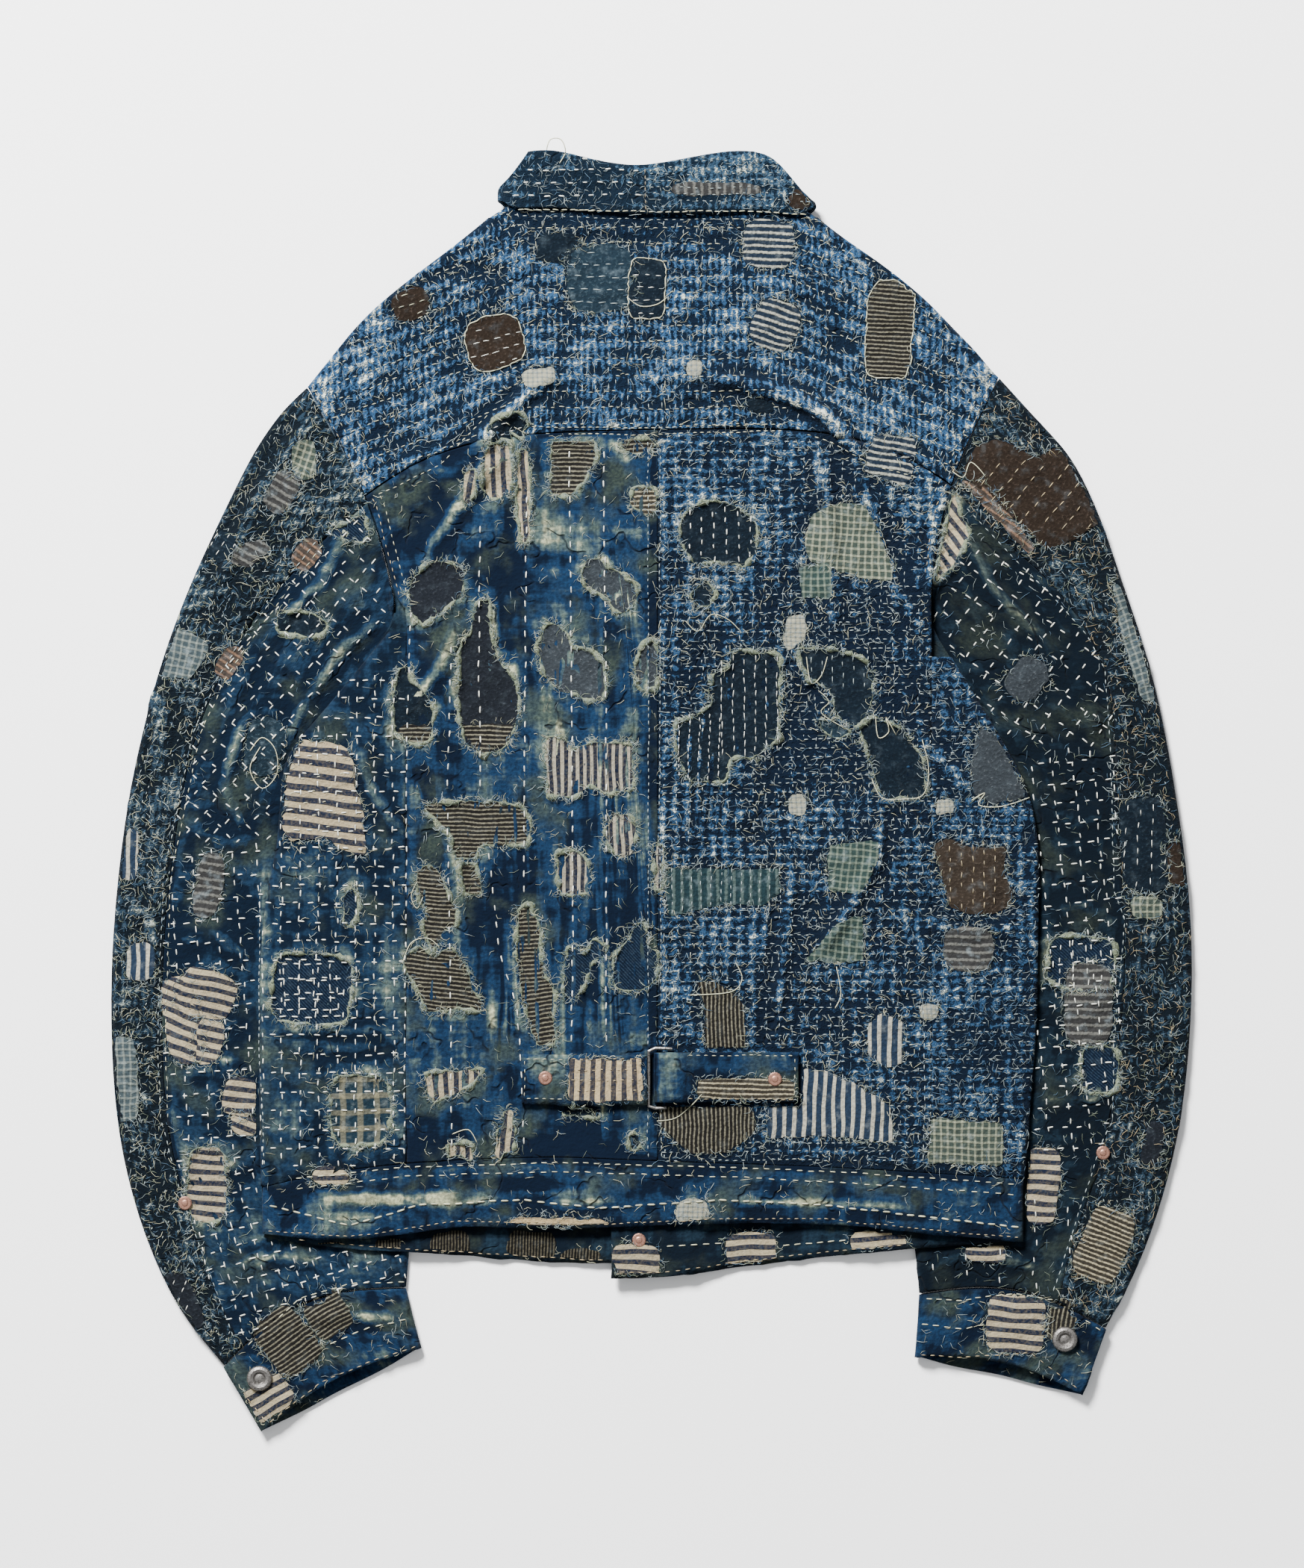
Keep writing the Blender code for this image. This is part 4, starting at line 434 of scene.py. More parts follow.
# Soft areas that are bleached or dark: centre, half width and height, amount
BLEACHED = (
    (770, 725, 50, 40, 0.6), (735, 955, 26, 30, 0.8), (720, 700, 30, 26, 0.5), (640, 700, 30, 40, 0.3),
    (600, 860, 26, 50, 0.35), (560, 1060, 26, 40, 0.45), (740, 1130, 30, 60, 0.55),
    (530, 1330, 22, 60, 0.6), (660, 1390, 60, 36, 0.6), (560, 1400, 30, 40, 0.5), (810, 1340, 30, 20, 0.8),
    (780, 1380, 60, 40, 0.4), (620, 1500, 60, 40, 0.4), (740, 1520, 40, 40, 0.3), (850, 1000, 14, 80, 0.5),
    (860, 1140, 22, 60, 0.6), (530, 940, 20, 40, 0.3), (660, 1050, 60, 20, 0.3), (740, 1420, 60, 26, 0.4),
    (860, 1450, 30, 60, 0.3), (520, 1605, 30, 16, 0.5), (600, 1610, 16, 26, 0.7), (760, 1600, 26, 20, 0.3),
    (1000, 1600, 26, 22, 0.4), (1090, 1600, 20, 22, 0.5), (1180, 1595, 30, 20, 0.4),
    (1300, 1610, 40, 20, 0.3), (430, 1610, 30, 20, 0.2), (930, 1615, 34, 26, 0.9), (720, 600, 60, 20, 0.3),
    (900, 575, 180, 14, 0.6), (560, 620, 70, 26, 0.35), (480, 640, 30, 30, 0.3), (980, 370, 70, 30, 0.3),
    (1180, 560, 60, 26, 0.35), (1150, 610, 60, 18, 0.4), (960, 640, 60, 40, 0.25), (1020, 640, 40, 30, 0.2),
    (900, 800, 20, 90, 0.1), (1000, 1080, 100, 22, 0.45), (1160, 1000, 30, 60, 0.25),
    (1240, 1040, 20, 60, 0.4), (1010, 1330, 12, 60, 0.5), (1230, 1400, 20, 40, 0.3),
    (1360, 1150, 14, 100, 0.2), (356, 1260, 10, 130, 0.7), (440, 1400, 70, 18, 0.5),
    (420, 1170, 60, 18, 0.4), (520, 1290, 20, 60, 0.3), (400, 1480, 30, 30, 0.35), (200, 1050, 26, 90, 0.3),
    (170, 1300, 16, 60, 0.5), (240, 800, 30, 50, 0.25), (270, 1700, 40, 50, 0.3), (430, 860, 60, 40, 0.25),
    (470, 800, 40, 30, 0.3), (300, 1420, 30, 20, 0.5), (260, 1470, 30, 30, 0.2), (470, 1700, 60, 20, 0.1),
    (500, 1760, 40, 30, 0.4), (480, 1820, 50, 20, 0.35), (340, 1830, 20, 20, 0.3),
    (1260, 1760, 26, 30, 0.2), (1400, 1820, 40, 20, 0.2), (1450, 1830, 26, 24, 0.3),
    (1420, 1150, 40, 60, 0.2), (1420, 1350, 30, 40, 0.25), (1540, 1400, 30, 80, 0.3),
    (1530, 1580, 26, 40, 0.2), (1540, 1280, 26, 40, 0.35), (1500, 700, 40, 40, 0.2),
    (730, 1440, 26, 26, 0.4), (1000, 1425, 60, 14, 0.5), (470, 1612, 60, 26, 0.35),
    (640, 1608, 50, 26, 0.35), (800, 1605, 50, 26, 0.35), (1040, 1605, 60, 26, 0.35),
    (1150, 1605, 50, 26, 0.3), (700, 1515, 140, 30, 0.3), (400, 1660, 110, 50, 0.28),
    (1370, 1670, 90, 40, 0.22), (590, 1615, 180, 22, 0.3), (1320, 1360, 50, 110, 0.22),
    (895, 1440, 20, 30, 0.5), (970, 240, 90, 26, 0.4), (670, 280, 14, 14, 0.3),
)
# The dark areas: partly the cloth's own darker tone, partly painted shade along folds and under the collar
DARK_AND_PAINTED_SHADE = (
    (740, 1520, 40, 40, 0.2), (530, 940, 20, 40, 0.2), (620, 760, 40, 30, 0.4), (680, 780, 30, 60, 0.25),
    (700, 1180, 40, 50, 0.5), (600, 1040, 40, 24, 0.3), (720, 870, 20, 60, 0.3), (640, 1230, 30, 60, 0.4),
    (560, 600, 60, 60, 0.3), (690, 1460, 30, 40, 0.5), (680, 1600, 26, 20, 0.4), (850, 1600, 30, 20, 0.3),
    (1230, 1600, 24, 20, 0.4), (880, 300, 180, 40, 0.55), (740, 290, 60, 30, 0.4), (620, 470, 60, 60, 0.2),
    (950, 520, 80, 20, 0.3), (870, 540, 120, 14, 0.25), (1110, 400, 40, 60, 0.25), (960, 1110, 60, 30, 0.2),
    (1300, 1690, 60, 30, 0.25), (1090, 1360, 60, 40, 0.3), (1130, 1060, 40, 24, 0.2),
    (1300, 1400, 60, 60, 0.25), (1320, 1270, 40, 40, 0.3), (1050, 1200, 30, 60, 0.2),
    (940, 1440, 60, 20, 0.4), (970, 870, 50, 20, 0.3), (500, 1200, 30, 30, 0.3), (200, 1560, 30, 50, 0.4),
    (330, 740, 40, 40, 0.3), (350, 560, 30, 50, 0.3), (220, 1620, 20, 40, 0.3), (330, 1100, 40, 40, 0.3),
    (280, 1260, 40, 40, 0.25), (470, 1700, 60, 20, 0.1), (1330, 1770, 60, 30, 0.25),
    (1290, 1700, 40, 16, 0.2), (1440, 900, 40, 60, 0.2), (1440, 1050, 30, 30, 0.3),
    (1430, 1500, 40, 30, 0.3), (1560, 1000, 16, 60, 0.4), (1560, 1520, 20, 40, 0.3),
    (1400, 1640, 60, 50, 0.3), (980, 930, 90, 110, 0.5), (1120, 900, 90, 110, 0.5),
    (1180, 960, 60, 120, 0.45), (1130, 1005, 90, 60, 0.45), (1530, 1100, 34, 160, 0.4),
    (1530, 1400, 34, 110, 0.35), (1440, 1060, 44, 150, 0.35), (450, 1260, 80, 90, 0.3),
    (1440, 600, 60, 90, 0.35), (1540, 900, 50, 120, 0.35), (1560, 1100, 40, 120, 0.35),
    (780, 250, 80, 40, 0.8),
)


# Places and shapes

# How uneven a patch's edge is: height in pixels, waves per pixel, shift of the noise
TORN = ((2.6, 0.07, 0.0), (1.8, 0.25, 9.0))
TORN_SPACING = 3.6          # pixels between the points of a torn edge
SEED_STEP = 1.37            # between the seeds of two patches
CREASE_END = 0.15           # share of a crease's length over which it fades out


def spot(px, py):
    """A place in the photo in metres."""
    return (px - PHOTO_CENTRE[0]) * PX, (PHOTO_CENTRE[1] - py) * PX + SHIFT_Y


def pixel_at(x, y):
    """A place in metres in the photo's pixels."""
    return x / PX + PHOTO_CENTRE[0], PHOTO_CENTRE[1] - (y - SHIFT_Y) / PX


def soft(value):
    """A smooth step from 0 to 1."""
    value = np.clip(value, 0.0, 1.0)
    return value * value * (3.0 - 2.0 * value)


def noise_at(points, scale, seed):
    """Noise at the x and y of an array of points."""
    return np.array([noise.noise(Vector((p[0] * scale + seed, p[1] * scale, seed * 1.7))) for p in points])


def box_outline(x0, y0, x1, y1, turn, square, count=28):
    """A box with softened corners, in pixels."""
    turned = math.radians(turn)
    points = []
    for k in range(count):
        a, b = math.cos(2.0 * math.pi * k / count), math.sin(2.0 * math.pi * k / count)
        norm = (abs(a) ** square + abs(b) ** square) ** (1.0 / square)
        px, py = a / norm * (x1 - x0) / 2.0, b / norm * (y1 - y0) / 2.0
        points.append((
            (x0 + x1) / 2.0 + px * math.cos(turned) - py * math.sin(turned),
            (y0 + y1) / 2.0 + px * math.sin(turned) + py * math.cos(turned),
        ))
    return points


def ragged(points, seed):
    """A closed outline with points at an even spacing and a torn edge, anticlockwise as seen in the photo's
    own axes, with the outward direction at each point."""
    points = np.array(points, float)
    after = np.roll(points, -1, 0)
    if np.sum(points[:, 0] * after[:, 1] - after[:, 0] * points[:, 1]) < 0.0:
        points = points[::-1]
        after = np.roll(points, -1, 0)
    even = []
    for start, end in zip(points, after):
        steps = max(int(np.hypot(*(end - start)) / TORN_SPACING), 1)
        even += [start + (end - start) * k / steps for k in range(steps)]
    even = np.array(even)
    for turn in range(2):
        even = 0.5 * even + 0.25 * (np.roll(even, 1, 0) + np.roll(even, -1, 0))
    tangent = np.roll(even, -1, 0) - np.roll(even, 1, 0)
    tangent /= np.maximum(np.hypot(tangent[:, 0], tangent[:, 1]), 1e-6)[:, None]
    outward = np.stack([tangent[:, 1], -tangent[:, 0]], 1)
    torn = [
        sum(rise * noise.noise(Vector((x * waves, y * waves, seed + shift))) for rise, waves, shift in TORN)
        for x, y in even
    ]
    return even + outward * np.array(torn)[:, None], outward


def signed_depth(outline, px, py):
    """How far arrays of pixels are outside a closed outline, negative inside it."""
    best = np.full(px.shape, FAR)
    inside = np.zeros(px.shape, bool)
    for (ax, ay), (bx, by) in zip(outline, np.roll(outline, -1, 0)):
        dx, dy = bx - ax, by - ay
        share = np.clip(((px - ax) * dx + (py - ay) * dy) / max(dx * dx + dy * dy, TINY), 0.0, 1.0)
        best = np.minimum(best, np.hypot(px - ax - dx * share, py - ay - dy * share))
        crosses = ((ay > py) != (by > py)) & (px < ax + dx * (py - ay) / (dy if abs(dy) > TINY else TINY))
        inside ^= crosses
    return np.where(inside, -best, best)


def near_patch(outline, px, py, margin=26.0):
    """Which pixels are close enough to an outline to matter."""
    low, high = outline.min(0) - margin, outline.max(0) + margin
    return np.nonzero((px > low[0]) & (px < high[0]) & (py > low[1]) & (py < high[1]))[0]


def line_distance(points, x, y):
    """How far arrays of points are from a line through some points, all in metres, and the share along it."""
    best = np.full(x.shape, FAR)
    along = np.zeros(x.shape)
    count = len(points) - 1
    for k, (start, end) in enumerate(zip(points, points[1:])):
        dx, dy = end[0] - start[0], end[1] - start[1]
        share = np.clip(((x - start[0]) * dx + (y - start[1]) * dy) / (dx * dx + dy * dy), 0.0, 1.0)
        away = np.hypot(x - start[0] - dx * share, y - start[1] - dy * share)
        nearer = away < best
        best = np.where(nearer, away, best)
        along = np.where(nearer, (k + share) / count, along)
    return best, along


def creases_at(x, y):
    """For each crease: how many half widths away arrays of points are, its strength there and its height."""
    for line, height, half_width in CREASES:
        away, along = line_distance([spot(*point) for point in line], x, y)
        yield away / (half_width * MM), soft(along / CREASE_END) * soft((1.0 - along) / CREASE_END), height


PATCHES = list(SHAPES) + [(cloth, grain, edge, box_outline(*box)) for cloth, grain, edge, *box in BOXES]
OUTLINES = [ragged(patch[3], number * SEED_STEP) for number, patch in enumerate(PATCHES)]


# Materials

MATT = {"Roughness": 0.95, "Specular IOR Level": 0.04, "Sheen Weight": 0.02, "Sheen Roughness": 0.6}
METALLIC = {"Metallic": 0.9, "Sheen Weight": 0.0, "Specular IOR Level": 0.5}


class Material:
    """A material under construction, with short ways to add its nodes."""

    def __init__(self, name):
        self.made = bpy.data.materials.new(name)
        self.made.use_nodes = True
        self.tree = self.made.node_tree
        self.shader = self.tree.nodes["Principled BSDF"]
        self.set_shader(MATT)
        self.weave = self.node("ShaderNodeAttribute", attribute_name="weave").outputs["Vector"]

    def set_shader(self, values):
        for key, value in values.items():
            self.feed(self.shader.inputs[key], value)

    def feed(self, socket, value):
        if isinstance(value, bpy.types.NodeSocket):
            self.tree.links.new(value, socket)
        else:
            socket.default_value = value

    def node(self, kind, inputs=(), **settings):
        added = self.tree.nodes.new(kind)
        for key, value in settings.items():
            setattr(added, key, value)
        for key, value in dict(inputs).items():
            self.feed(added.inputs[key], value)
        return added

    def tones(self):
        """How bleached the cloth is, with painted light on ridges, and how dark, with painted shade in
        creases, hollows and round patches.
        """
        tone = self.node("ShaderNodeAttribute", attribute_name="tone").outputs["Color"]
        split = self.node("ShaderNodeSeparateColor", {0: tone})
        return split.outputs[0], split.outputs[1]

    def math(self, operation, a, b=0.0, c=0.0):
        return self.node("ShaderNodeMath", {0: a, 1: b, 2: c}, operation=operation).outputs[0]

    def times(self, a, b):
        return self.math("MULTIPLY", a, b)

    def total(self, value, *terms):
        """A value plus terms that each have a weight."""
        for term, weight in terms:
            value = self.math("MULTIPLY_ADD", term, weight, value)
        return value

    def noise(self, scale, detail=2.0, stretch=(1.0, 1.0, 1.0), place=None):
        scaled = self.node("ShaderNodeVectorMath", {0: place or self.weave, 1: stretch}, operation="MULTIPLY")
        inputs = {"Vector": scaled.outputs[0], "Scale": scale, "Detail": detail}
        return self.node("ShaderNodeTexNoise", inputs).outputs["Fac"]

    def step(self, value, low, high):
        inputs = {0: value, 1: low, 2: high, 3: 0.0, 4: 1.0}
        return self.node("ShaderNodeMapRange", inputs, interpolation_type="SMOOTHSTEP").outputs[0]

    def mix(self, share, *colours):
        first, second = [c if isinstance(c, bpy.types.NodeSocket) else (*c, 1.0) for c in colours]
        return self.node("ShaderNodeMix", {0: share, 6: first, 7: second}, data_type="RGBA").outputs[2]

    def wave(self, coordinate, period):
        return self.math("SINE", self.times(coordinate, 2.0 * math.pi / period))

    def axes(self, scale=1.0, reach=0.0):
        """Where a point is across and along the weave, after the threads have wandered a little."""
        place = self.weave
        if reach:
            inputs = {"Vector": place, "Scale": scale, "Detail": 1.0}
            wobble = self.node("ShaderNodeTexNoise", inputs).outputs["Color"]
            inputs = {0: wobble, 1: (reach, reach, 0.0), 2: place}
            place = self.node("ShaderNodeVectorMath", inputs, operation="MULTIPLY_ADD").outputs[0]
        split = self.node("ShaderNodeSeparateXYZ", {0: place})
        return split.outputs[0], split.outputs[1]

    def shaded_folds(self):
        """Thin lines where a crumpled cloth folds, used for bumps and for painted shade along the folds."""
        away = self.math("ABSOLUTE", self.math("ADD", self.noise(26.0, 3.0), -0.5))
        line = self.math("SUBTRACT", 1.0, self.step(away, 0.0, 0.018))
        return self.times(line, self.step(self.noise(41.0, 1.0), 0.48, 0.6))

    def finish(self, colour, height, strength, distance):
        bump = self.node("ShaderNodeBump", {"Strength": strength, "Distance": distance, "Height": height})
        self.set_shader({"Base Color": colour, "Normal": bump.outputs[0]})
        return self.made


# Noise in the light worn cloths: scale, weight
TUFTING = ((30.0, 0.55), (120.0, 0.5), (330.0, 0.7), (900.0, 0.6))
GRID_WEIGHT = 0.085
BODY, TUFT = (1.02, 1.20), (1.24, 1.46)       # where the middle colour and the tufts start and end
# Noise in the smooth cloths: scale, detail, stretch, weight
BLOTCHES = (
    (22.0, 3.0, (1.0, 1.0, 1.0), 1.0), (24.0, 2.0, (4.0, 0.7, 1.0), 0.5), (24.0, 2.0, (0.7, 4.0, 1.0), 0.5),
    (80.0, 2.0, (3.2, 0.5, 1.0), 0.55), (80.0, 2.0, (0.5, 3.2, 1.0), 0.55),
)
# Where the smooth cloths' three lighter colours start and end, from the value at which they bleach
RAMP = ((-0.45, -0.15), (-0.1, 0.25), (0.2, 0.5))
STAIN = (0.46, 0.44, 0.36)                    # of the light colour, in the stained areas
CLOTH_BUMP, PATCH_BUMP, FINE_BUMP = 0.0016, 0.0012, 0.0004     # metres
# Where on the wave a stripe starts: the lower, the wider it is
STRIPES = {"stripe": 0.15, "stripe_even": -0.05, "stripe_wide": -0.2}
WORN = (0.16, 0.21, 0.24)                     # what the patches' threads wear towards


def make_fuzzy(name, dark, mid, pale, period_x, period_y, amount):
    """Light worn cloth with whitish tufts in a broken grid."""
    made = Material(name)
    bleach_and_painted_light, darken_and_painted_shade = made.tones()
    x, y = made.axes(55.0, 0.006)
    grid = made.math("ADD", made.wave(x, period_x), made.wave(y, period_y))
    terms = [(made.noise(scale), weight) for scale, weight in TUFTING]
    value = made.total(amount, *terms, (grid, GRID_WEIGHT), (bleach_and_painted_light, 0.25), (darken_and_painted_shade, -0.35))
    tuft = made.step(value, *TUFT)
    shaded_folds = made.shaded_folds()
    colour = made.mix(made.step(value, *BODY), dark, mid)
    colour = made.mix(tuft, colour, pale)
    # Painted shade along the fold lines
    colour = made.mix(made.times(shaded_folds, 0.5), colour, dark)
    return made.finish(colour, made.total(value, (tuft, 0.5), (shaded_folds, -0.6)), 1.0, CLOTH_BUMP)


def make_indigo(name, deep, mid, light, yellow, bleached, grid):
    """Smooth indigo cloth that is bleached towards teal and pale yellow."""
    made = Material(name)
    bleach_and_painted_light, darken_and_painted_shade = made.tones()
    fine, small = made.noise(480.0, 3.0), made.noise(130.0, 3.0)
    terms = [(made.noise(*row[:3]), row[3]) for row in BLOTCHES]
    value = made.total(-0.55, *terms, (small, 0.45), (bleach_and_painted_light, 0.8), (darken_and_painted_shade, -0.6))
    if grid:
        x, y = made.axes()
        value = made.total(value, (made.math("MAXIMUM", made.wave(x, grid), made.wave(y, grid)), 0.1))
    colour = deep
    for (low, high), lighter in zip(RAMP, (mid, light, yellow)):
        colour = made.mix(made.step(value, bleached + low, bleached + high), colour, lighter)
    stained = made.times(made.step(made.noise(34.0, 3.0), 0.5, 0.68), 0.7)
    colour = made.mix(stained, colour, tuple(a * b for a, b in zip(light, STAIN)))
    colour = made.mix(made.total(0.55, (made.step(fine, 0.3, 0.7), -0.55)), colour, deep)
    shaded_folds = made.shaded_folds()
    # Painted shade along the fold lines
    colour = made.mix(made.times(shaded_folds, 0.75), colour, deep)
    height = made.total(made.times(fine, 0.5), (small, 0.8), (shaded_folds, -0.8))
    return made.finish(colour, height, 0.8, CLOTH_BUMP)


def pattern(made, kind, period, share, fine):
    """How much of a patch's second colour shows."""
    x, y = made.axes(40.0, 0.004)
    if kind == "plain":
        return made.times(made.step(fine, 0.55, 0.75), share)
    if kind in STRIPES:
        wave = made.wave(y, period)
        broad = made.step(wave, STRIPES[kind], STRIPES[kind] + 0.25)
        thin = made.times(made.step(made.wave(y, period / 3.0), 0.55, 0.85), share)
        return made.math("MAXIMUM", broad, made.times(thin, made.step(wave, -0.9, -0.5)))
    if kind == "rib":
        return made.times(made.step(made.total(made.wave(y, period), (fine, 1.6)), 0.75, 1.7), share)
    if kind == "check":
        both = [made.step(made.wave(axis, period), 0.3, 0.7) for axis in (x, y)]
        return made.times(made.math("ADD", *both), share)
    slant = made.wave(made.math("ADD", x, y), period)
    return made.times(made.step(made.total(slant, (fine, 1.2)), 0.7, 1.6), share)


def make_woven(name, ground, second, kind, period, share, wear):
    """The cloth of a patch: plain, striped along one way, ribbed, checked or twilled."""
    made = Material(name)
    fine, small = made.noise(520.0, 3.0), made.noise(150.0, 3.0)
    mask = pattern(made, kind, period, share, fine)
    colour = made.mix(mask, ground, second)
    worn = tuple(0.6 * a + 0.4 * b for a, b in zip(WORN, second))
    colour = made.mix(made.times(made.step(small, 0.5, 0.8), wear), colour, worn)
    dirt = made.total(0.4, (made.step(fine, 0.3, 0.65), -0.4))
    colour = made.mix(dirt, colour, tuple(0.35 * c for c in ground))
    return made.finish(colour, made.total(fine, (small, 0.6), (mask, 0.4)), 0.7, PATCH_BUMP)


def make_thread():
    """Thread whose colour each stitch carries."""
    made = Material("thread")
    tint = made.node("ShaderNodeAttribute", attribute_name="tint").outputs["Color"]
    fine = made.noise(900.0, place=made.node("ShaderNodeTexCoord").outputs["Object"])
    colour = made.mix(made.times(made.step(fine, 0.35, 0.7), 0.35), tint, (0.16, 0.19, 0.2))
    return made.finish(colour, fine, 0.5, FINE_BUMP)


def make_metal(name, colour, dirt):
    made = Material(name)
    small = made.noise(900.0, 3.0, place=made.node("ShaderNodeTexCoord").outputs["Object"])
    rough = made.node("ShaderNodeMapRange", {0: small, 3: 0.3, 4: 0.6}).outputs[0]
    made.set_shader({**METALLIC, "Roughness": rough})
    return made.finish(made.mix(made.step(small, 0.45, 0.75), colour, dirt), small, 0.3, FINE_BUMP)


# Light worn cloths: dark, middle and pale colour, periods of the grid in metres, how many tufts
FUZZY_CLOTHS = {
    "fuzzy": ((0.0015, 0.005, 0.012), (0.018, 0.052, 0.110), (0.50, 0.54, 0.46), 0.0043, 0.0105, -0.06),
    "fuzzy_grid": ((0.0012, 0.004, 0.010), (0.013, 0.038, 0.080), (0.45, 0.50, 0.44), 0.0081, 0.0057, -0.115),
    "fuzzy_dark": ((0.0015, 0.0035, 0.006), (0.011, 0.023, 0.037), (0.27, 0.31, 0.27), 0.0048, 0.0085, -0.13),
    "collar_cloth": ((0.002, 0.006, 0.012), (0.018, 0.042, 0.072), (0.38, 0.42, 0.36), 0.0043, 0.0076, -0.06),
}
# Smooth cloths: deep, middle, light and yellow colour, value at which they bleach, period of the grid
INDIGO_CLOTHS = {
    "indigo": ((0.001, 0.0036, 0.010), (0.005, 0.0185, 0.045), (0.062, 0.090, 0.080), (0.36, 0.37, 0.23),
               1.50, 0.0),
    "indigo_dark": ((0.0015, 0.004, 0.008), (0.006, 0.015, 0.025), (0.045, 0.062, 0.055), (0.22, 0.21, 0.14),
                    1.52, 0.0),
    "hatched": ((0.001, 0.004, 0.010), (0.0055, 0.017, 0.036), (0.048, 0.072, 0.070), (0.25, 0.27, 0.18),
                1.53, 0.0115),
    "hatched_dark": ((0.001, 0.003, 0.006), (0.004, 0.010, 0.017), (0.030, 0.042, 0.040), (0.14, 0.15, 0.10),
                     1.55, 0.0125),
}
# Cloths of the patches: ground and second colour, pattern, its period in metres, share, wear
WOVEN_CLOTHS = {
    "navy": ((0.0025, 0.0056, 0.0098), (0.019, 0.031, 0.041), "plain", 0.0, 0.45, 0.12),
    "navy_faded": ((0.006, 0.013, 0.020), (0.050, 0.075, 0.085), "plain", 0.0, 0.5, 0.4),
    "ticking_fine": ((0.20, 0.18, 0.135), (0.004, 0.006, 0.014), "stripe_wide", 0.0047, 0.5, 0.12),
    "ticking_wide": ((0.225, 0.185, 0.115), (0.005, 0.008, 0.018), "stripe_even", 0.0080, 0.8, 0.12),
    "green_lined": ((0.007, 0.018, 0.022), (0.09, 0.12, 0.105), "rib", 0.0055, 0.4, 0.4),
    "charcoal": ((0.006, 0.0075, 0.0105), (0.030, 0.034, 0.040), "plain", 0.0, 0.4, 0.1),
    "grey": ((0.018, 0.022, 0.026), (0.072, 0.080, 0.086), "plain", 0.0, 0.5, 0.1),
    "brown": ((0.0125, 0.0085, 0.006), (0.055, 0.041, 0.032), "plain", 0.0, 0.5, 0.15),
    "brown_faded": ((0.018, 0.0135, 0.010), (0.080, 0.064, 0.050), "plain", 0.0, 0.5, 0.2),
    "brown_worn": ((0.0198, 0.0198, 0.0198), (0.119, 0.119, 0.106), "rib", 0.0050, 0.6, 0.6),
    "rust": ((0.030, 0.024, 0.020), (0.17, 0.10, 0.062), "rib", 0.0040, 0.6, 0.5),
    "cream": ((0.21, 0.205, 0.15), (0.05, 0.075, 0.095), "check", 0.0030, 0.4, 0.5),
    "apricot": ((0.264, 0.198, 0.106), (0.0528, 0.0528, 0.0528), "rib", 0.0050, 0.6, 0.3),
    "denim": ((0.0015, 0.005, 0.013), (0.020, 0.036, 0.056), "twill", 0.0022, 0.5, 0.1),
    "rib": ((0.007, 0.0064, 0.006), (0.135, 0.126, 0.088), "rib", 0.0027, 0.75, 0.1),
    "rib_black": ((0.004, 0.0038, 0.0035), (0.085, 0.075, 0.050), "rib", 0.0020, 0.6, 0.1),
    "rib_cream": ((0.0198, 0.0172, 0.0132), (0.277, 0.244, 0.158), "rib", 0.0030, 0.8, 0.2),
    "pinstripe": ((0.0066, 0.0119, 0.0211), (0.277, 0.277, 0.224), "rib", 0.0042, 0.85, 0.2),
    "ticking": ((0.245, 0.205, 0.132), (0.005, 0.008, 0.018), "stripe_even", 0.0066, 0.8, 0.15),
    "ticking_dark": ((0.00924, 0.0172, 0.0317), (0.264, 0.251, 0.198), "stripe", 0.0062, 0.5, 0.25),
    "ticking_apricot": ((0.27, 0.21, 0.12), (0.012, 0.013, 0.02), "stripe_even", 0.0066, 0.7, 0.2),
    "gingham": ((0.026, 0.036, 0.030), (0.19, 0.20, 0.14), "check", 0.0043, 0.5, 0.45),
    "gingham_green": ((0.014, 0.026, 0.024), (0.12, 0.145, 0.11), "check", 0.0043, 0.42, 0.5),
    "gingham_pale": ((0.028, 0.040, 0.045), (0.15, 0.17, 0.15), "check", 0.0043, 0.45, 0.6),
    "plaid": ((0.006, 0.015, 0.023), (0.19, 0.17, 0.10), "check", 0.0105, 0.34, 0.4),
    "frayed_edge": ((0.125, 0.145, 0.095), (0.020, 0.036, 0.044), "plain", 0.0, 0.95, 0.85),
}
# Metals: colour, colour of the dirt
METAL_COLOURS = {
    "steel": ((0.16, 0.155, 0.145), (0.03, 0.026, 0.022)),
    "button_metal": ((0.19, 0.18, 0.17), (0.04, 0.037, 0.033)),
    "copper_metal": ((0.36, 0.19, 0.14), (0.14, 0.075, 0.055)),
}
CLOTHS = {}
for make, rows in ((make_fuzzy, FUZZY_CLOTHS), (make_indigo, INDIGO_CLOTHS), (make_woven, WOVEN_CLOTHS)):
    CLOTHS.update({name: make(name, *row) for name, row in rows.items()})
METALS = {name: make_metal(name, *row) for name, row in METAL_COLOURS.items()}
THREAD = make_thread()
TINTS = {
    "white": (0.70, 0.70, 0.62), "cream": (0.46, 0.45, 0.30), "apricot": (0.34, 0.26, 0.14),
    "olive": (0.16, 0.19, 0.13), "pale": (0.29, 0.34, 0.33), "blue": (0.05, 0.10, 0.16),
    "seam": (0.012, 0.026, 0.046),
}


# Cloth panels

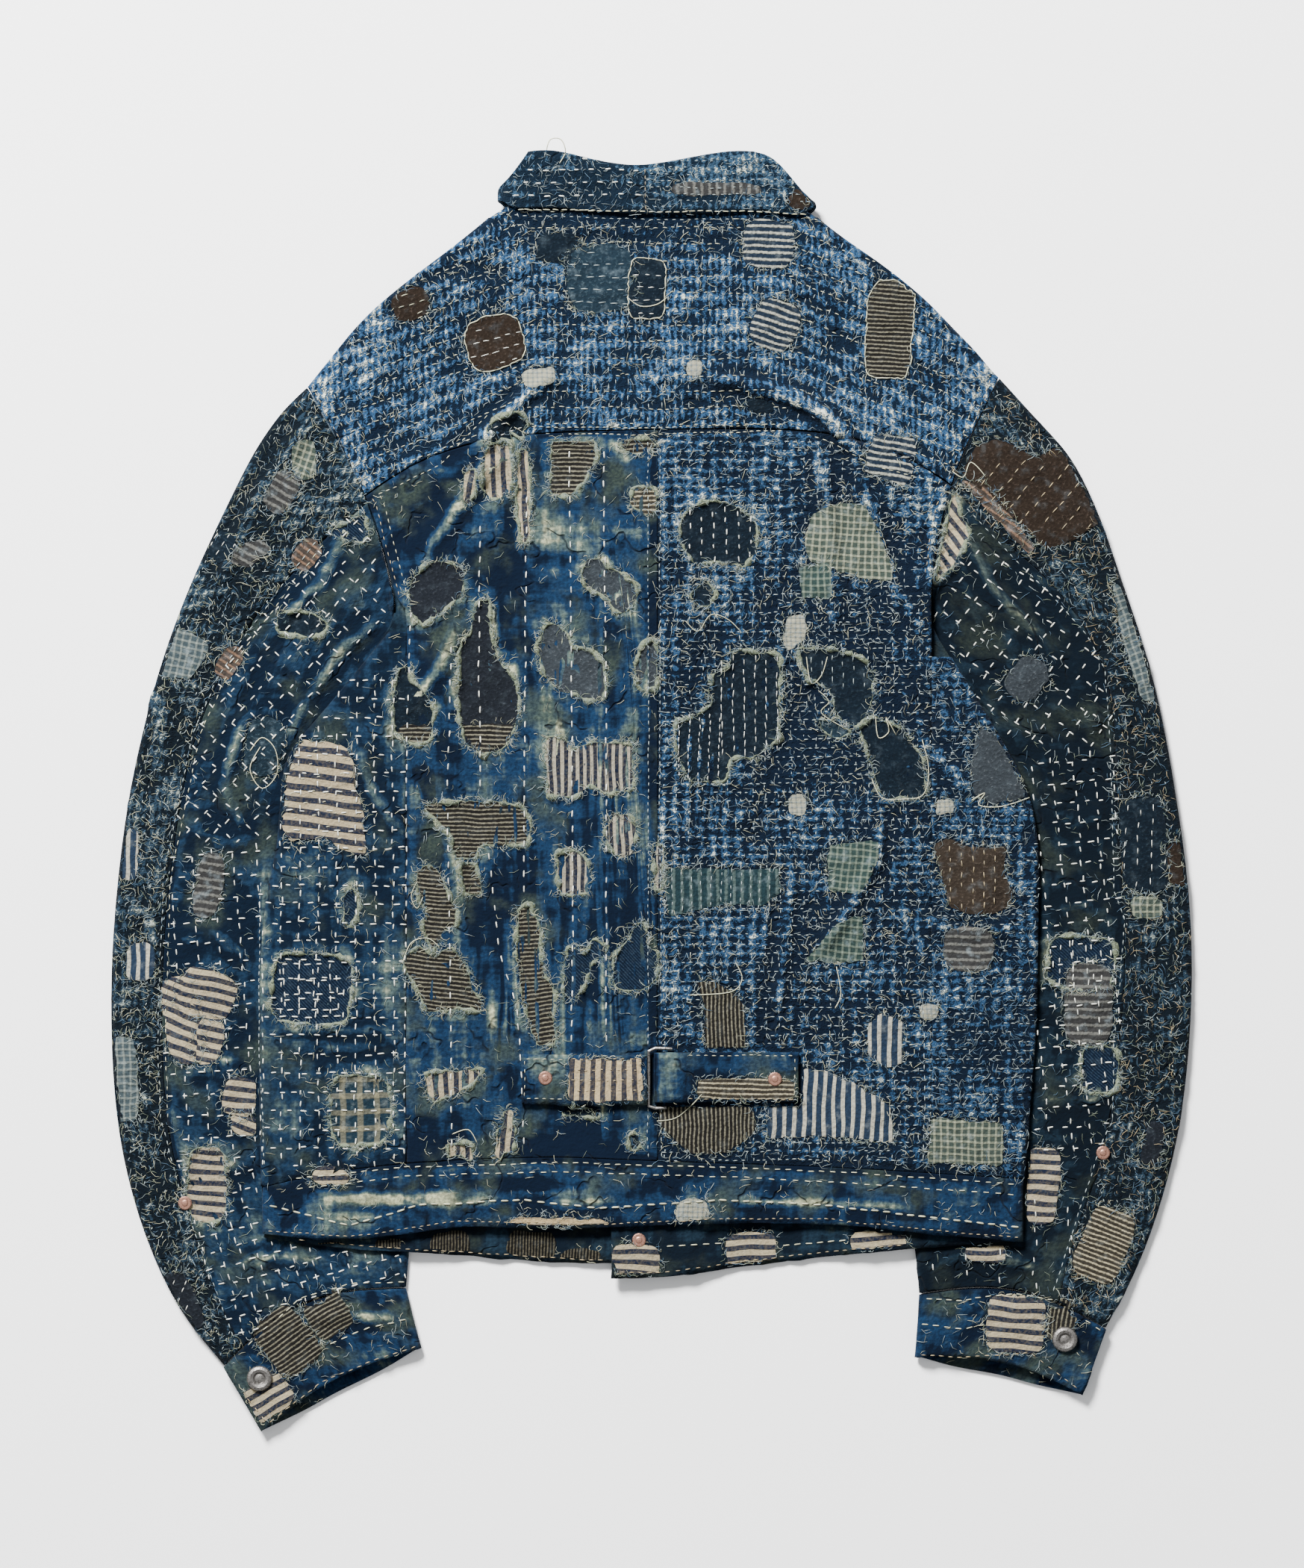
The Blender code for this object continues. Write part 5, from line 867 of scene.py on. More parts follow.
FLAT_ANGLE, QUAD_ANGLE = math.radians(50), math.radians(120)     # triangles up to these become quads
RIM_ANGLE = math.radians(42)                  # a sharper edge stays sharp
SHOULDER, SHOULDER_SLOPE = 0.075, 0.40        # past this x the yoke's threads slope
SLEEVE_BEND, BEND_Y = 0.82, -0.127            # how the sleeves' threads bend, and where they run straight
SLEEVE_UNDER = 0.003                          # what lies lower on a tube is its underside
CLEAR, THICKEST = 0.0002, 0.02                # where the search for pieces above a point starts and ends
UPWARD = 0.3                # a face whose normal has a higher z shows from above
HALO = 15.0                 # how far round a worn hole the cloth is bleached, in pixels
SHADE = 4.0                 # how far round a patch painted shadow falls on the cloth, in pixels
CREASE_RISE = 1.9           # of the heights in the table
CREASE_SHADE, CREASE_WEAR_AND_PAINTED_LIGHT = 0.9, 0.25         # how much shade is painted at a crease's foot, and how much light, partly wear, is painted on its back
CREASE_FOOT, CREASE_WIDTH = 1.7, 0.7          # where its foot lies and how wide each is, in half widths
PUCKER_SHADE, PUCKER_WEAR_AND_PAINTED_LIGHT = 0.7, 0.35         # painted shade in a pucker's hollow, and painted light, partly wear, on its back
# Puckers: height in mm, scale and seed of the noise
PUCKERS = ((1.3, 45.0, 3.0), (1.1, 110.0, 5.0), (0.65, 240.0, 9.0))
RIM_RISE, RIM_SINK, RIM_WIDTH = 0.9, 0.6, 5.0  # of the cloth round and in a worn hole: mm, mm, pixels
LOWEST_RISE, HIGHEST_RISE = -1.3, 4.0         # mm


def shell_mesh(node, levels):
    """A CAD node's mesh in quads, subdivided with its sharp rims kept."""
    build = bmesh.new()
    build.from_mesh(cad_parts[node].data)
    bmesh.ops.remove_doubles(build, verts=build.verts, dist=2e-6)
    bmesh.ops.join_triangles(
        build, faces=build.faces, angle_face_threshold=FLAT_ANGLE, angle_shape_threshold=QUAD_ANGLE
    )
    crease = build.edges.layers.float.new("crease_edge")
    for edge in build.edges:
        if len(edge.link_faces) == 2 and edge.calc_face_angle() > RIM_ANGLE:
            edge[crease] = 1.0
    mesh = bpy.data.meshes.new("coarse")
    build.to_mesh(mesh)
    build.free()
    coarse = bpy.data.objects.new("coarse", mesh)
    bpy.context.scene.collection.objects.link(coarse)
    modifier = coarse.modifiers.new("smooth", "SUBSURF")
    modifier.levels = levels
    modifier.render_levels = levels
    shown = coarse.evaluated_get(bpy.context.evaluated_depsgraph_get())
    fine = bpy.data.meshes.new_from_object(shown)
    bpy.data.objects.remove(coarse, do_unlink=True)
    return fine


def cut_top(mesh, lowest):
    """Cuts the faces that show from above once more."""
    build = bmesh.new()
    build.from_mesh(mesh)
    faces = [face for face in build.faces if face.normal.z > UPWARD and face.calc_center_median().z > lowest]
    edges = {edge for face in faces for edge in face.edges}
    bmesh.ops.subdivide_edges(build, edges=list(edges), cuts=1, use_grid_fill=True)
    build.to_mesh(mesh)
    build.free()


def weave_of(node, x, y):
    """Where a panel's threads run: across and along, in metres."""
    if node == "yoke":
        return x, y + SHOULDER_SLOPE * np.maximum(np.abs(x) - SHOULDER, 0.0)
    if node.startswith(("sleeve", "cuff")):
        side = -1.0 if "left" in node else 1.0
        return x + side * SLEEVE_BEND * (y - BEND_Y) ** 2, y
    return x, y


def areas(rows, px, py):
    """The sum of some soft areas at arrays of pixels."""
    total = np.zeros(px.shape)
    for cx, cy, half_x, half_y, amount in rows:
        total += amount * np.exp(-((px - cx) / half_x) ** 2 - ((py - cy) / half_y) ** 2)
    return total


def tone_of(x, y):
    """How bleached and how dark the cloth is at arrays of places: the lightness takes in painted light on the
    backs of creases, and the darkness takes in painted shade at creases, round patches and in part of the
    dark areas.
    """
    px, py = pixel_at(x, y)
    bleach_and_painted_light, dark = areas(BLEACHED, px, py), areas(DARK_AND_PAINTED_SHADE, px, py)
    # Painted shade at a ridge's foot and in a groove, and painted light, partly wear, on a ridge's back
    for away, fade, height in creases_at(x, y):
        back = fade * np.exp(-(away / CREASE_WIDTH) ** 2)
        if height > 0.0:
            dark += CREASE_SHADE * fade * np.exp(-((away - CREASE_FOOT) / CREASE_WIDTH) ** 2)
            bleach_and_painted_light += CREASE_WEAR_AND_PAINTED_LIGHT * back
        else:
            dark += CREASE_SHADE * back
    for (cloth, grain, edge, drawn), (outline, outward) in zip(PATCHES, OUTLINES):
        near = near_patch(outline, px, py)
        depth = np.maximum(signed_depth(outline, px[near], py[near]), 0.0)
        if edge == "hole":
            uneven = 0.38 + 0.9 * noise_at(np.stack([px[near], py[near]], 1), 0.05, 2.0)
            bleach_and_painted_light[near] = np.maximum(bleach_and_painted_light[near], uneven * np.exp(-(depth / HALO) ** 2))
        else:
            # Painted shadow on the cloth round a patch that lies on it
            dark[near] += 0.35 * np.exp(-(depth / SHADE) ** 2)
    return np.clip(bleach_and_painted_light, 0.0, 1.0), np.clip(dark, 0.0, 1.0)


def set_attribute(mesh, name, kind, values):
    layer = mesh.attributes.new(name, kind, "POINT")
    values = np.ascontiguousarray(values, np.float32).ravel()
    layer.data.foreach_set("color" if kind == "FLOAT_COLOR" else "vector", values)


def add_piece(name, mesh, materials):
    mesh.materials.clear()
    for material in materials:
        mesh.materials.append(material)
    mesh.polygons.foreach_set("use_smooth", [True] * len(mesh.polygons))
    piece = bpy.data.objects.new(name, mesh)
    bpy.context.scene.collection.objects.link(piece)
    return piece


def tree_of(mesh):
    return BVHTree.FromPolygons([v.co[:] for v in mesh.vertices], [p.vertices[:] for p in mesh.polygons])


CAD_TREES = [(node, tree_of(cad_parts[node].data)) for node, *rest in PANELS + FASTENINGS]


def covered(points, node):
    """Which points lie under another piece."""
    hidden = np.zeros(len(points), bool)
    for i, (x, y, z) in enumerate(points):
        start = Vector((x, y, z + CLEAR))
        hidden[i] = any(
            tree.ray_cast(start, Vector((0, 0, 1)), THICKEST)[0] is not None
            for other, tree in CAD_TREES if other != node
        )
    return hidden


def rise_of(points, node):
    """How far the creases, the puckers and the worn holes move the outer face's points, in mm."""
    x, y = points[:, 0], points[:, 1]
    rise = np.zeros(len(points))
    for away, fade, height in creases_at(x, y):
        rise += CREASE_RISE * height * np.exp(-away ** 2) * fade
    rough = 0.9 if node.startswith(("sleeve", "cuff", "waistband")) else 0.75
    rise += rough * sum(height * noise_at(points, scale, seed) for height, scale, seed in PUCKERS)
    px, py = pixel_at(x, y)
    for (cloth, grain, edge, drawn), (outline, outward) in zip(PATCHES, OUTLINES):
        if edge == "hole":
            near = near_patch(outline, px, py)
            depth = signed_depth(outline, px[near], py[near])
            rise[near] += RIM_RISE * np.exp(-((depth - 4.0) / RIM_WIDTH) ** 2)
            rise[near] -= RIM_SINK * soft(-depth / RIM_WIDTH)
    return rise


def vertex_values(mesh, what):
    values = np.zeros(len(mesh.vertices) * 3, np.float32)
    mesh.vertices.foreach_get(what, values)
    return values.reshape(-1, 3).astype(float)


def crumple(mesh, node, lowest):
    """Moves the outer face of a panel; how far in metres, and how much each point belongs to that face."""
    points, normals = vertex_values(mesh, "co"), vertex_values(mesh, "normal")
    top = soft((normals[:, 2] - 0.25) / 0.4) * (points[:, 2] > lowest)
    candidates = np.nonzero(top > 0.0)[0]
    top[candidates[covered(points[candidates], node)]] = 0.0
    rise = np.clip(rise_of(points, node) * top, LOWEST_RISE, HIGHEST_RISE) * MM
    points += normals * rise[:, None]
    mesh.vertices.foreach_set("co", points.astype(np.float32).ravel())
    return points, rise, top


def make_panel(node, cloth, levels):
    """A panel of fine cloth. The fronts, which are hidden, stay plain."""
    mesh = shell_mesh(node, levels)
    points = vertex_values(mesh, "co")
    if node.startswith("front_"):
        bleach_and_painted_light, dark = tone_of(points[:, 0], points[:, 1])
    else:
        lowest = SLEEVE_UNDER if node.startswith(("sleeve", "cuff")) else 0.0
        cut_top(mesh, lowest)
        points, rise, top = crumple(mesh, node, lowest)
        bleach_and_painted_light, dark = tone_of(points[:, 0], points[:, 1])
        # Painted shade in the hollows of the puckers, and painted light, partly wear, on their backs
        dark = np.clip(dark + PUCKER_SHADE * soft(-rise / (1.1 * MM)) * (top > 0.0), 0.0, 1.0)
        bleach_and_painted_light = np.clip(bleach_and_painted_light + PUCKER_WEAR_AND_PAINTED_LIGHT * soft((rise / MM - 0.5) / 2.0), 0.0, 1.0)
    across, along = weave_of(node, points[:, 0], points[:, 1])
    set_attribute(mesh, "weave", "FLOAT_VECTOR", np.stack([across, along, points[:, 2] * 0.5], 1))
    rest = np.zeros(len(points)), np.ones(len(points))
    set_attribute(mesh, "tone", "FLOAT_COLOR", np.stack([bleach_and_painted_light, dark, *rest], 1))
    return add_piece("cloth_" + node, mesh, [CLOTHS[cloth]])


panels = {}
for node, cloth, width, length, cut, levels in PANELS:
    panels[node] = make_panel(node, cloth, levels)
    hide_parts(node)


# Heights of all that has been laid down, on a grid seen from above

STEP = 0.0012               # metres between the grid's cells
LOW = (-0.355, -0.42)       # the first cell's x and y
COLUMNS, ROWS = 592, 700
ABOVE = 0.1                 # metres, higher than all pieces
AROUND = [(down, across) for down in (-1, 0, 1) for across in (-1, 0, 1)]
GAP_DEPTH = 0.0015          # a deeper cell beside a seam takes its neighbours' height
# Panels that lie apart, by the start of their names
APART = (("sleeve_left", "cuff_left"), ("sleeve_right", "cuff_right"), "collar", "cinch", "front",
         "waistband_front")


def shifted(grid, down, across):
    return np.roll(np.roll(grid, down, 0), across, 1)


def height_grid():
    """How high the cloth lies in each cell, and the number of the panel there, or -1."""
    heights = np.zeros((ROWS, COLUMNS))
    owner = np.full((ROWS, COLUMNS), -1)
    for index, (node, *rest) in enumerate(PANELS):
        if node.startswith("front_"):
            continue
        tree = tree_of(panels[node].data)
        points = vertex_values(panels[node].data, "co")
        low = np.maximum((points[:, :2].min(0) - LOW) / STEP, 0).astype(int)
        high = np.minimum((points[:, :2].max(0) - LOW) / STEP + 2, (COLUMNS, ROWS)).astype(int)
        for r in range(low[1], high[1]):
            for c in range(low[0], high[0]):
                start = Vector((LOW[0] + c * STEP, LOW[1] + r * STEP, ABOVE))
                hit = tree.ray_cast(start, Vector((0, 0, -1)))[0]
                if hit is not None and hit.z > heights[r, c]:
                    heights[r, c] = hit.z
                    owner[r, c] = index
    wide = np.max([shifted(heights, *step) for step in AROUND], 0)
    gap = (heights < wide - GAP_DEPTH) & (owner >= 0)
    return np.where(gap, wide, heights), owner


HEIGHTS, OWNER = height_grid()


def height_at(x, y):
    """The height of the cloth at arrays of places."""
    gx = np.clip((x - LOW[0]) / STEP, 0, COLUMNS - 1.001)
    gy = np.clip((y - LOW[1]) / STEP, 0, ROWS - 1.001)
    c, r = gx.astype(int), gy.astype(int)
    u, v = gx - c, gy - r
    bottom = HEIGHTS[r, c] * (1 - u) + HEIGHTS[r, c + 1] * u
    top = HEIGHTS[r + 1, c] * (1 - u) + HEIGHTS[r + 1, c + 1] * u
    return bottom * (1 - v) + top * v


def cell_of(x, y, inset=0):
    """Rows and columns of the cells at arrays of places, at least some cells in from the grid's edge."""
    r = np.clip(np.round((y - LOW[1]) / STEP).astype(int), inset, ROWS - 1 - inset)
    c = np.clip(np.round((x - LOW[0]) / STEP).astype(int), inset, COLUMNS - 1 - inset)
    return r, c


def node_under(px, py):
    index = OWNER[cell_of(*spot(np.float64(px), np.float64(py)))]
    return PANELS[index][0] if index >= 0 else None


def group_of(node):
    """Which of the groups of panels that lie apart a panel belongs to."""
    found = [number for number, start in enumerate(APART) if node.startswith(start)]
    return found[0] if found else len(APART)


def inside_group(group):
    """Where a group shows, a little in from its edge."""
    mask = GROUP_MAP == group
    inner = mask.copy()
    for step in ((-2, 0), (2, 0), (0, -2), (0, 2), (1, 1), (-1, -1), (1, -1), (-1, 1)):
        inner &= shifted(mask, *step)
    return inner


GROUP_MAP = np.array([group_of(row[0]) for row in PANELS] + [-1])[OWNER]
MASKS = [inside_group(group) for group in range(len(APART) + 1)]


# Patches

PATCH_CELL = 4.6            # pixels between the points inside a patch
PATCH_INSET = 2.6           # how far in from its edge they start
SLOPE = 4.0                 # pixels over which a patch rises from its edge
PATCH_PUCKER = 0.35         # mm
WEAVE_SHIFT = (0.037, 0.053, 0.1)             # metres between the weaves of two patches
# Height of a patch over the cloth in mm, and the share of that at its edge
LIFTS = {"hole": (0.2, 1.0), "frayed": (0.7, 0.5), "corded": (0.8, 0.5), "flat": (0.5, 0.5)}
RIM_PROFILE = ((-2.2, 0.15), (-1.4, 1.0), (0.4, 1.3), (2.2, 0.8), (3.6, 0.0))     # pixels out, mm up
# Loose ends along an edge: how many per pixel, how far they turn from the edge, tints
FRAYS = {
    "hole": (0.8, 1.2, ("cream", "olive", "pale", "pale", "olive", "blue")),
    "frayed": (0.36, 1.6, ("pale", "cream", "blue", "pale", "olive")),
    "corded": (0.16, 1.2, ("pale", "blue")), "flat": (0.05, 1.0, ("cream",)),
}
RIM_SIZES = (0.12, 1.6)     # smallest and largest share of the profile
INWARD_SHARE = 0.18         # of a worn hole's loose ends point into it
FRAY_PLACE = (-1.5, 3.5)    # pixels out from the edge
FRAY_LENGTH, FRAY_CURL = (4.0, 15.0), (-1.1, 1.1)        # pixels, radians at each point
FRAY_RADIUS = (0.08, 0.16)  # mm
CORD_RADIUS = 0.42          # mm


class Gathered:
    """Points and faces that become one piece."""

    def __init__(self):
        self.points, self.faces, self.weave, self.slots, self.cloths = [], [], [], [], []

    def add(self, points, weave, faces, cloth):
        start = len(self.points)
        self.points += [tuple(point) for point in points]
        self.weave += [tuple(place) for place in weave]
        if cloth not in self.cloths:
            self.cloths.append(cloth)
        for face in faces:
            self.faces.append(tuple(start + corner for corner in face))
            self.slots.append(self.cloths.index(cloth))

    def piece(self, name):
        mesh = bpy.data.meshes.new(name)
        mesh.from_pydata(self.points, [], self.faces)
        set_attribute(mesh, "weave", "FLOAT_VECTOR", self.weave)
        made = add_piece(name, mesh, [CLOTHS[cloth] for cloth in self.cloths])
        mesh.polygons.foreach_set("material_index", self.slots)
        return made


patch_sets = {}
threads = {}


def keep_thread(node, path, radius, tint):
    threads.setdefault(node, []).append((path, radius, tint))


def add_fibre(node, place, heading, length, curl, radius, tint, steps=4):
    """A short curly fibre, in pixels, with its radius in mm."""
    px, py = place
    path = []
    for s in range(steps):
        path.append((px, py))
        px += math.cos(heading) * length / (steps - 1)
        py += math.sin(heading) * length / (steps - 1)
        heading += curl + random.uniform(-0.4, 0.4)
    keep_thread(node, path, radius, tint)


def keep_on_group(outline, middle, node):
    """Draws the points of an outline in until they lie on the panels that it is sewn to."""
    mask = MASKS[group_of(node)]
    kept = outline.copy()
    for k, place in enumerate(outline):
        for share in np.linspace(1.0, 0.1, 19):
            kept[k] = middle + (place - middle) * share
            if mask[cell_of(*spot(*kept[k]), 2)]:
                break
    return kept


def filled(outline):
    """An outline with points inside it, and the faces between them all."""
    low, high = outline.min(0), outline.max(0)
    u, v = np.meshgrid(np.arange(low[0], high[0], PATCH_CELL), np.arange(low[1], high[1], PATCH_CELL))
    u, v = u.ravel(), v.ravel()
    inner = signed_depth(outline, u, v) < -PATCH_INSET
    flat = np.concatenate([outline, np.stack([u[inner], v[inner]], 1)])
    points, rim = [Vector(point) for point in flat], list(range(len(outline)))
    made = geometry.delaunay_2d_cdt(points, [], [rim], 1, 1e-4)
    return np.array([tuple(point) for point in made[0]]), [face[::-1] for face in made[2]]


def lay_patch(number):
    """A patch cut to its outline, kept on the panels that it is sewn to."""
    cloth, grain, edge, drawn = PATCHES[number]
    outline, outward = OUTLINES[number]
    middle = outline.mean(0)
    node = node_under(*middle)
    if node is None:
        return
    kept = keep_on_group(outline, middle, node)
    flat, faces = filled(kept)
    x, y = spot(flat[:, 0], flat[:, 1])
    lift, at_edge = LIFTS[edge]
    rise = lift * (at_edge + (1.0 - at_edge) * soft(-signed_depth(kept, flat[:, 0], flat[:, 1]) / SLOPE))
    rise += PATCH_PUCKER * noise_at(np.stack([x, y], 1), 150.0, number)
    turned = math.radians(grain)
    across, along = x * math.cos(turned) - y * math.sin(turned), x * math.sin(turned) + y * math.cos(turned)
    weave = np.stack([across, along, np.zeros(len(x))], 1) + number * np.array(WEAVE_SHIFT)
    gathered = patch_sets.setdefault(node, Gathered())
    gathered.add(np.stack([x, y, height_at(x, y) + rise * MM], 1), weave, faces, cloth)
    if edge == "hole":
        lay_rim(number, kept, outward, gathered)
    fray(kept, outward, node, edge)


def lay_rim(number, outline, outward, gathered):
    """The curled edge of a worn hole."""
    count = len(outline)
    grow = [0.5 + 2.0 * noise.noise(Vector((u * 0.08, v * 0.08, number + 0.5))) for u, v in outline]
    grow = np.clip(grow, *RIM_SIZES)
    rings = []
    for out, up in RIM_PROFILE:
        flat = outline + outward * (out * grow)[:, None]
        x, y = spot(flat[:, 0], flat[:, 1])
        wave = 1.0 + 0.9 * noise_at(np.stack([x, y], 1), 520.0, number)
        rings.append(np.stack([x, y, height_at(x, y) + up * grow * wave * MM], 1))
    points = np.concatenate(rings)
    weave = [(x, y, 0.3) for x, y, z in points]
    faces = []
    for a in range(count * (len(RIM_PROFILE) - 1)):
        b = a - a % count + (a + 1) % count
        faces.append((a, a + count, b + count, b))
    gathered.add(points, weave, faces, "frayed_edge")


def fray(outline, outward, node, edge):
    """Loose thread ends along a patch's edge, and a cord laid round it if it has one."""
    count = len(outline)
    around = np.hypot(*(np.roll(outline, -1, 0) - outline).T).sum()
    density, spread, tints = FRAYS[edge]
    for k in range(int(around * density)):
        at = random.randrange(count)
        place = outline[at] + outward[at] * random.uniform(*FRAY_PLACE)
        away = math.atan2(outward[at][1], outward[at][0])
        heading = away + random.choice((-1.0, 1.0)) * random.uniform(0.3, spread)
        if edge == "hole" and random.random() < INWARD_SHARE:
            heading = away + math.pi + random.uniform(-0.9, 0.9)
        length, curl = random.uniform(*FRAY_LENGTH), random.uniform(*FRAY_CURL)
        add_fibre(node, place, heading, length, curl, random.uniform(*FRAY_RADIUS), random.choice(tints))
    if edge == "corded":
        ring = [tuple(point) for point in outline] + [tuple(outline[0])]
        for start in range(0, count, 4):
            keep_thread(node, ring[start:start + 5], CORD_RADIUS, "cream")


def raise_heights():
    """Adds the patches' own heights to the grid, so that stitches lie on them."""
    for gathered in patch_sets.values():
        points = np.array(gathered.points)
        r, c = cell_of(points[:, 0], points[:, 1], 1)
        for down, across in AROUND:
            np.maximum.at(HEIGHTS, (r + down, c + across), points[:, 2])


for number in range(len(PATCHES)):
    lay_patch(number)
raise_heights()


# Stitches and threads

THIN_STITCH = 0.35          # mm; a thinner stitch needs fewer points
SHORT = 4                   # points in a stitch or fibre
STEP_DOWN = 0.0018          # a stitch doesn't run off one panel's edge onto a lower one
OVERHANG = 0.0006           # how far a thread sinks past the cloth's edge, in metres
FIBRE_RADIUS = 0.28         # mm; what is thinner lies loose
PATCH_SKIP = 0.03           # share of the stitches left out on single patches
LOOSE_RADIUS = 0.34         # mm
SEAM_RADIUS = 0.9           # mm
SEAM_SINK = -0.3            # mm
LEAST_TINT = {True: 0.3, False: 0.65}         # of a thread's colour, where it is loose or a stitch
MOST_TINT = 1.1
FUZZ_LENGTH, FUZZ_CURL = (5.0, 17.0), (-1.0, 1.0)        # pixels, radians at each point
FUZZ_RADIUS = (0.09, 0.16)  # mm
# Fuzz on the worn panels: node, how many loose fibres, tints
FUZZ = (
    ("yoke", 2400, ("pale", "pale", "blue", "cream")),
    ("back_right", 3600, ("pale", "pale", "blue", "cream")),
    ("back_side_right", 1100, ("pale", "blue")),
    ("sleeve_left_outer", 2200, ("pale", "blue", "cream", "olive")),
    ("sleeve_right_outer", 2000, ("pale", "blue", "olive", "apricot")),
    ("collar", 500, ("pale", "blue")),
    ("back_side_left", 350, ("pale", "cream", "olive")),
    ("sleeve_left_inner", 300, ("pale", "blue", "olive")),
    ("sleeve_right_inner", 450, ("pale", "blue", "olive")),
    ("back_left", 500, ("cream", "pale", "olive")),
    ("cuff_left", 90, ("cream", "pale")), ("cuff_right", 90, ("cream", "pale")),
    ("waistband_back", 200, ("cream", "pale")),
)
columns, rows = np.meshgrid(np.arange(COLUMNS), np.arange(ROWS))
GRID_PX, GRID_PY = pixel_at(LOW[0] + columns * STEP, LOW[1] + rows * STEP)


def patched_cells():
    """Which cells of the grid a patch covers."""
    px, py = GRID_PX.ravel(), GRID_PY.ravel()
    found = np.zeros(ROWS * COLUMNS, bool)
    for outline, outward in OUTLINES:
        near = near_patch(outline, px, py, 2.0)
        found[near] |= signed_depth(outline, px[near], py[near]) < 0.0
    return found.reshape(ROWS, COLUMNS)


ON_PATCH = patched_cells()


def stitch(node, px, py, angle, length, radius, tint):
    """One stitch along an angle, through its middle."""
    dx, dy = math.cos(angle) * length / 2.0, -math.sin(angle) * length / 2.0
    shares = (-1.0, -0.6, 0.6, 1.0) if radius > THIN_STITCH else (-1.0, 0.0, 1.0)
    keep_thread(node, [(px + dx * share, py + dy * share) for share in shares], radius, tint)


def field_places(box, angle, spacing, pitch, skip):
    """Where the stitches of a field go, in rows that waver a little."""
    x0, y0, x1, y1 = box
    cx, cy = (x0 + x1) / 2.0, (y0 + y1) / 2.0
    reach = math.hypot(x1 - x0, y1 - y0) / 2.0
    row = -reach
    number = 0
    while row < reach:
        along = -reach + (number % 2) * pitch / 2.0
        while along < reach:
            bend = 3.0 * noise.noise(Vector((along * 0.012, row * 0.02, spacing)))
            a = along + random.uniform(-0.12, 0.12) * pitch
            b = row + bend + random.uniform(-0.06, 0.06) * spacing
            px = cx + a * math.cos(angle) + b * math.sin(angle)
            py = cy - a * math.sin(angle) + b * math.cos(angle)
            if x0 <= px <= x1 and y0 <= py <= y1 and random.random() > skip:
                yield px, py
            along += pitch
        row += spacing
        number += 1


def fill_field(node, box, degrees, spacing, pitch, length, radius, tint, skip, over):
    """Rows of running stitches in a box, on one panel or on all."""
    angle = math.radians(degrees)
    for px, py in list(field_places(box, angle, spacing, pitch, skip)):
        cell = cell_of(*spot(np.float64(px), np.float64(py)))
        found = PANELS[OWNER[cell]][0] if OWNER[cell] >= 0 else None
        if found is None or (node and found != node) or (ON_PATCH[cell] and not over):
            continue
        turned = angle + random.uniform(-0.12, 0.12)
        stitch(found, px, py, turned, length * random.uniform(0.75, 1.15), radius, tint)


def sew_line(line, pitch, length, radius, tint):
    """A long line of running stitches."""
    for (ax, ay), (bx, by) in zip(line, line[1:]):
        steps = max(int(math.hypot(bx - ax, by - ay) / pitch), 1)
        for k in range(steps):
            share = (k + 0.5) / steps
            px, py = ax + (bx - ax) * share, ay + (by - ay) * share
            wander = 1.6 * noise.noise(Vector((px * 0.03, py * 0.03, 4.0)))
            found = node_under(px, py)
            if found:
                angle = math.atan2(-(by - ay), bx - ax) + random.uniform(-0.08, 0.08)
                stitch(found, px + wander, py + wander, angle, length, radius, tint)


def add_fuzz(node, count, tints):
    """Loose fibres scattered over a worn panel, between its patches."""
    index = [row[0] for row in PANELS].index(node)
    cells = np.argwhere((OWNER == index) & ~ON_PATCH)
    for r, c in cells[rng.integers(0, len(cells), count)]:
        heading, length = random.uniform(0.0, 2.0 * math.pi), random.uniform(*FUZZ_LENGTH)
        curl, radius = random.uniform(*FUZZ_CURL), random.uniform(*FUZZ_RADIUS)
        place = (GRID_PX[r, c], GRID_PY[r, c])
        add_fibre(node, place, heading, length, curl, radius, random.choice(tints), 3)


def curve_through(line):
    """A smooth curve through some points."""
    path = []
    for k in range(len(line) - 1):
        a, b, c, d = [np.array(line[min(max(k + step, 0), len(line) - 1)], float) for step in (-1, 0, 1, 2)]
        for share in np.arange(0.0, 1.0, 0.2):
            cube, square = share ** 3, share ** 2
            path.append(tuple(
                b * (2 * cube - 3 * square + 1) + (c - a) / 2 * (cube - 2 * square + share)
                + c * (3 * square - 2 * cube) + (d - b) / 2 * (cube - square)
            ))
    return path + [line[-1]]


def fill_seam(line):
    """A turned edge along a seam of the yoke."""
    for start, end in zip(np.array(line, float), np.array(line[1:], float)):
        path = [tuple(start + (end - start) * share) for share in np.linspace(0.0, 1.0, 5)]
        keep_thread("yoke", path, SEAM_RADIUS, "seam")


for node, x0, y0, x1, y1, directions, *row in FIELDS:
    for degrees in directions:
        fill_field(node, (x0, y0, x1, y1), degrees, *row)
for x0, y0, x1, y1, *row in PATCH_FIELDS:
    fill_field(None, (x0, y0, x1, y1), *row, PATCH_SKIP, 1)
for row in LINES:
    sew_line(*row)
for row in FUZZ:
    add_fuzz(*row)
for line in LOOSE:
    keep_thread(node_under(*line[len(line) // 2]) or "collar", curve_through(line), LOOSE_RADIUS, "cream")
for line in SEAMS:
    fill_seam(line)


def sunk_by(count, loose, tint):
    """How high each point of a thread lies over the cloth, in mm: a stitch's ends go into it."""
    if tint == "seam":
        return np.full(count, SEAM_SINK)
    if loose:
        return np.array([0.35 + 0.3 * math.sin(k * 1.9) for k in range(count)])
    return np.array([-0.25] + [0.2] * (count - 2) + [-0.25])


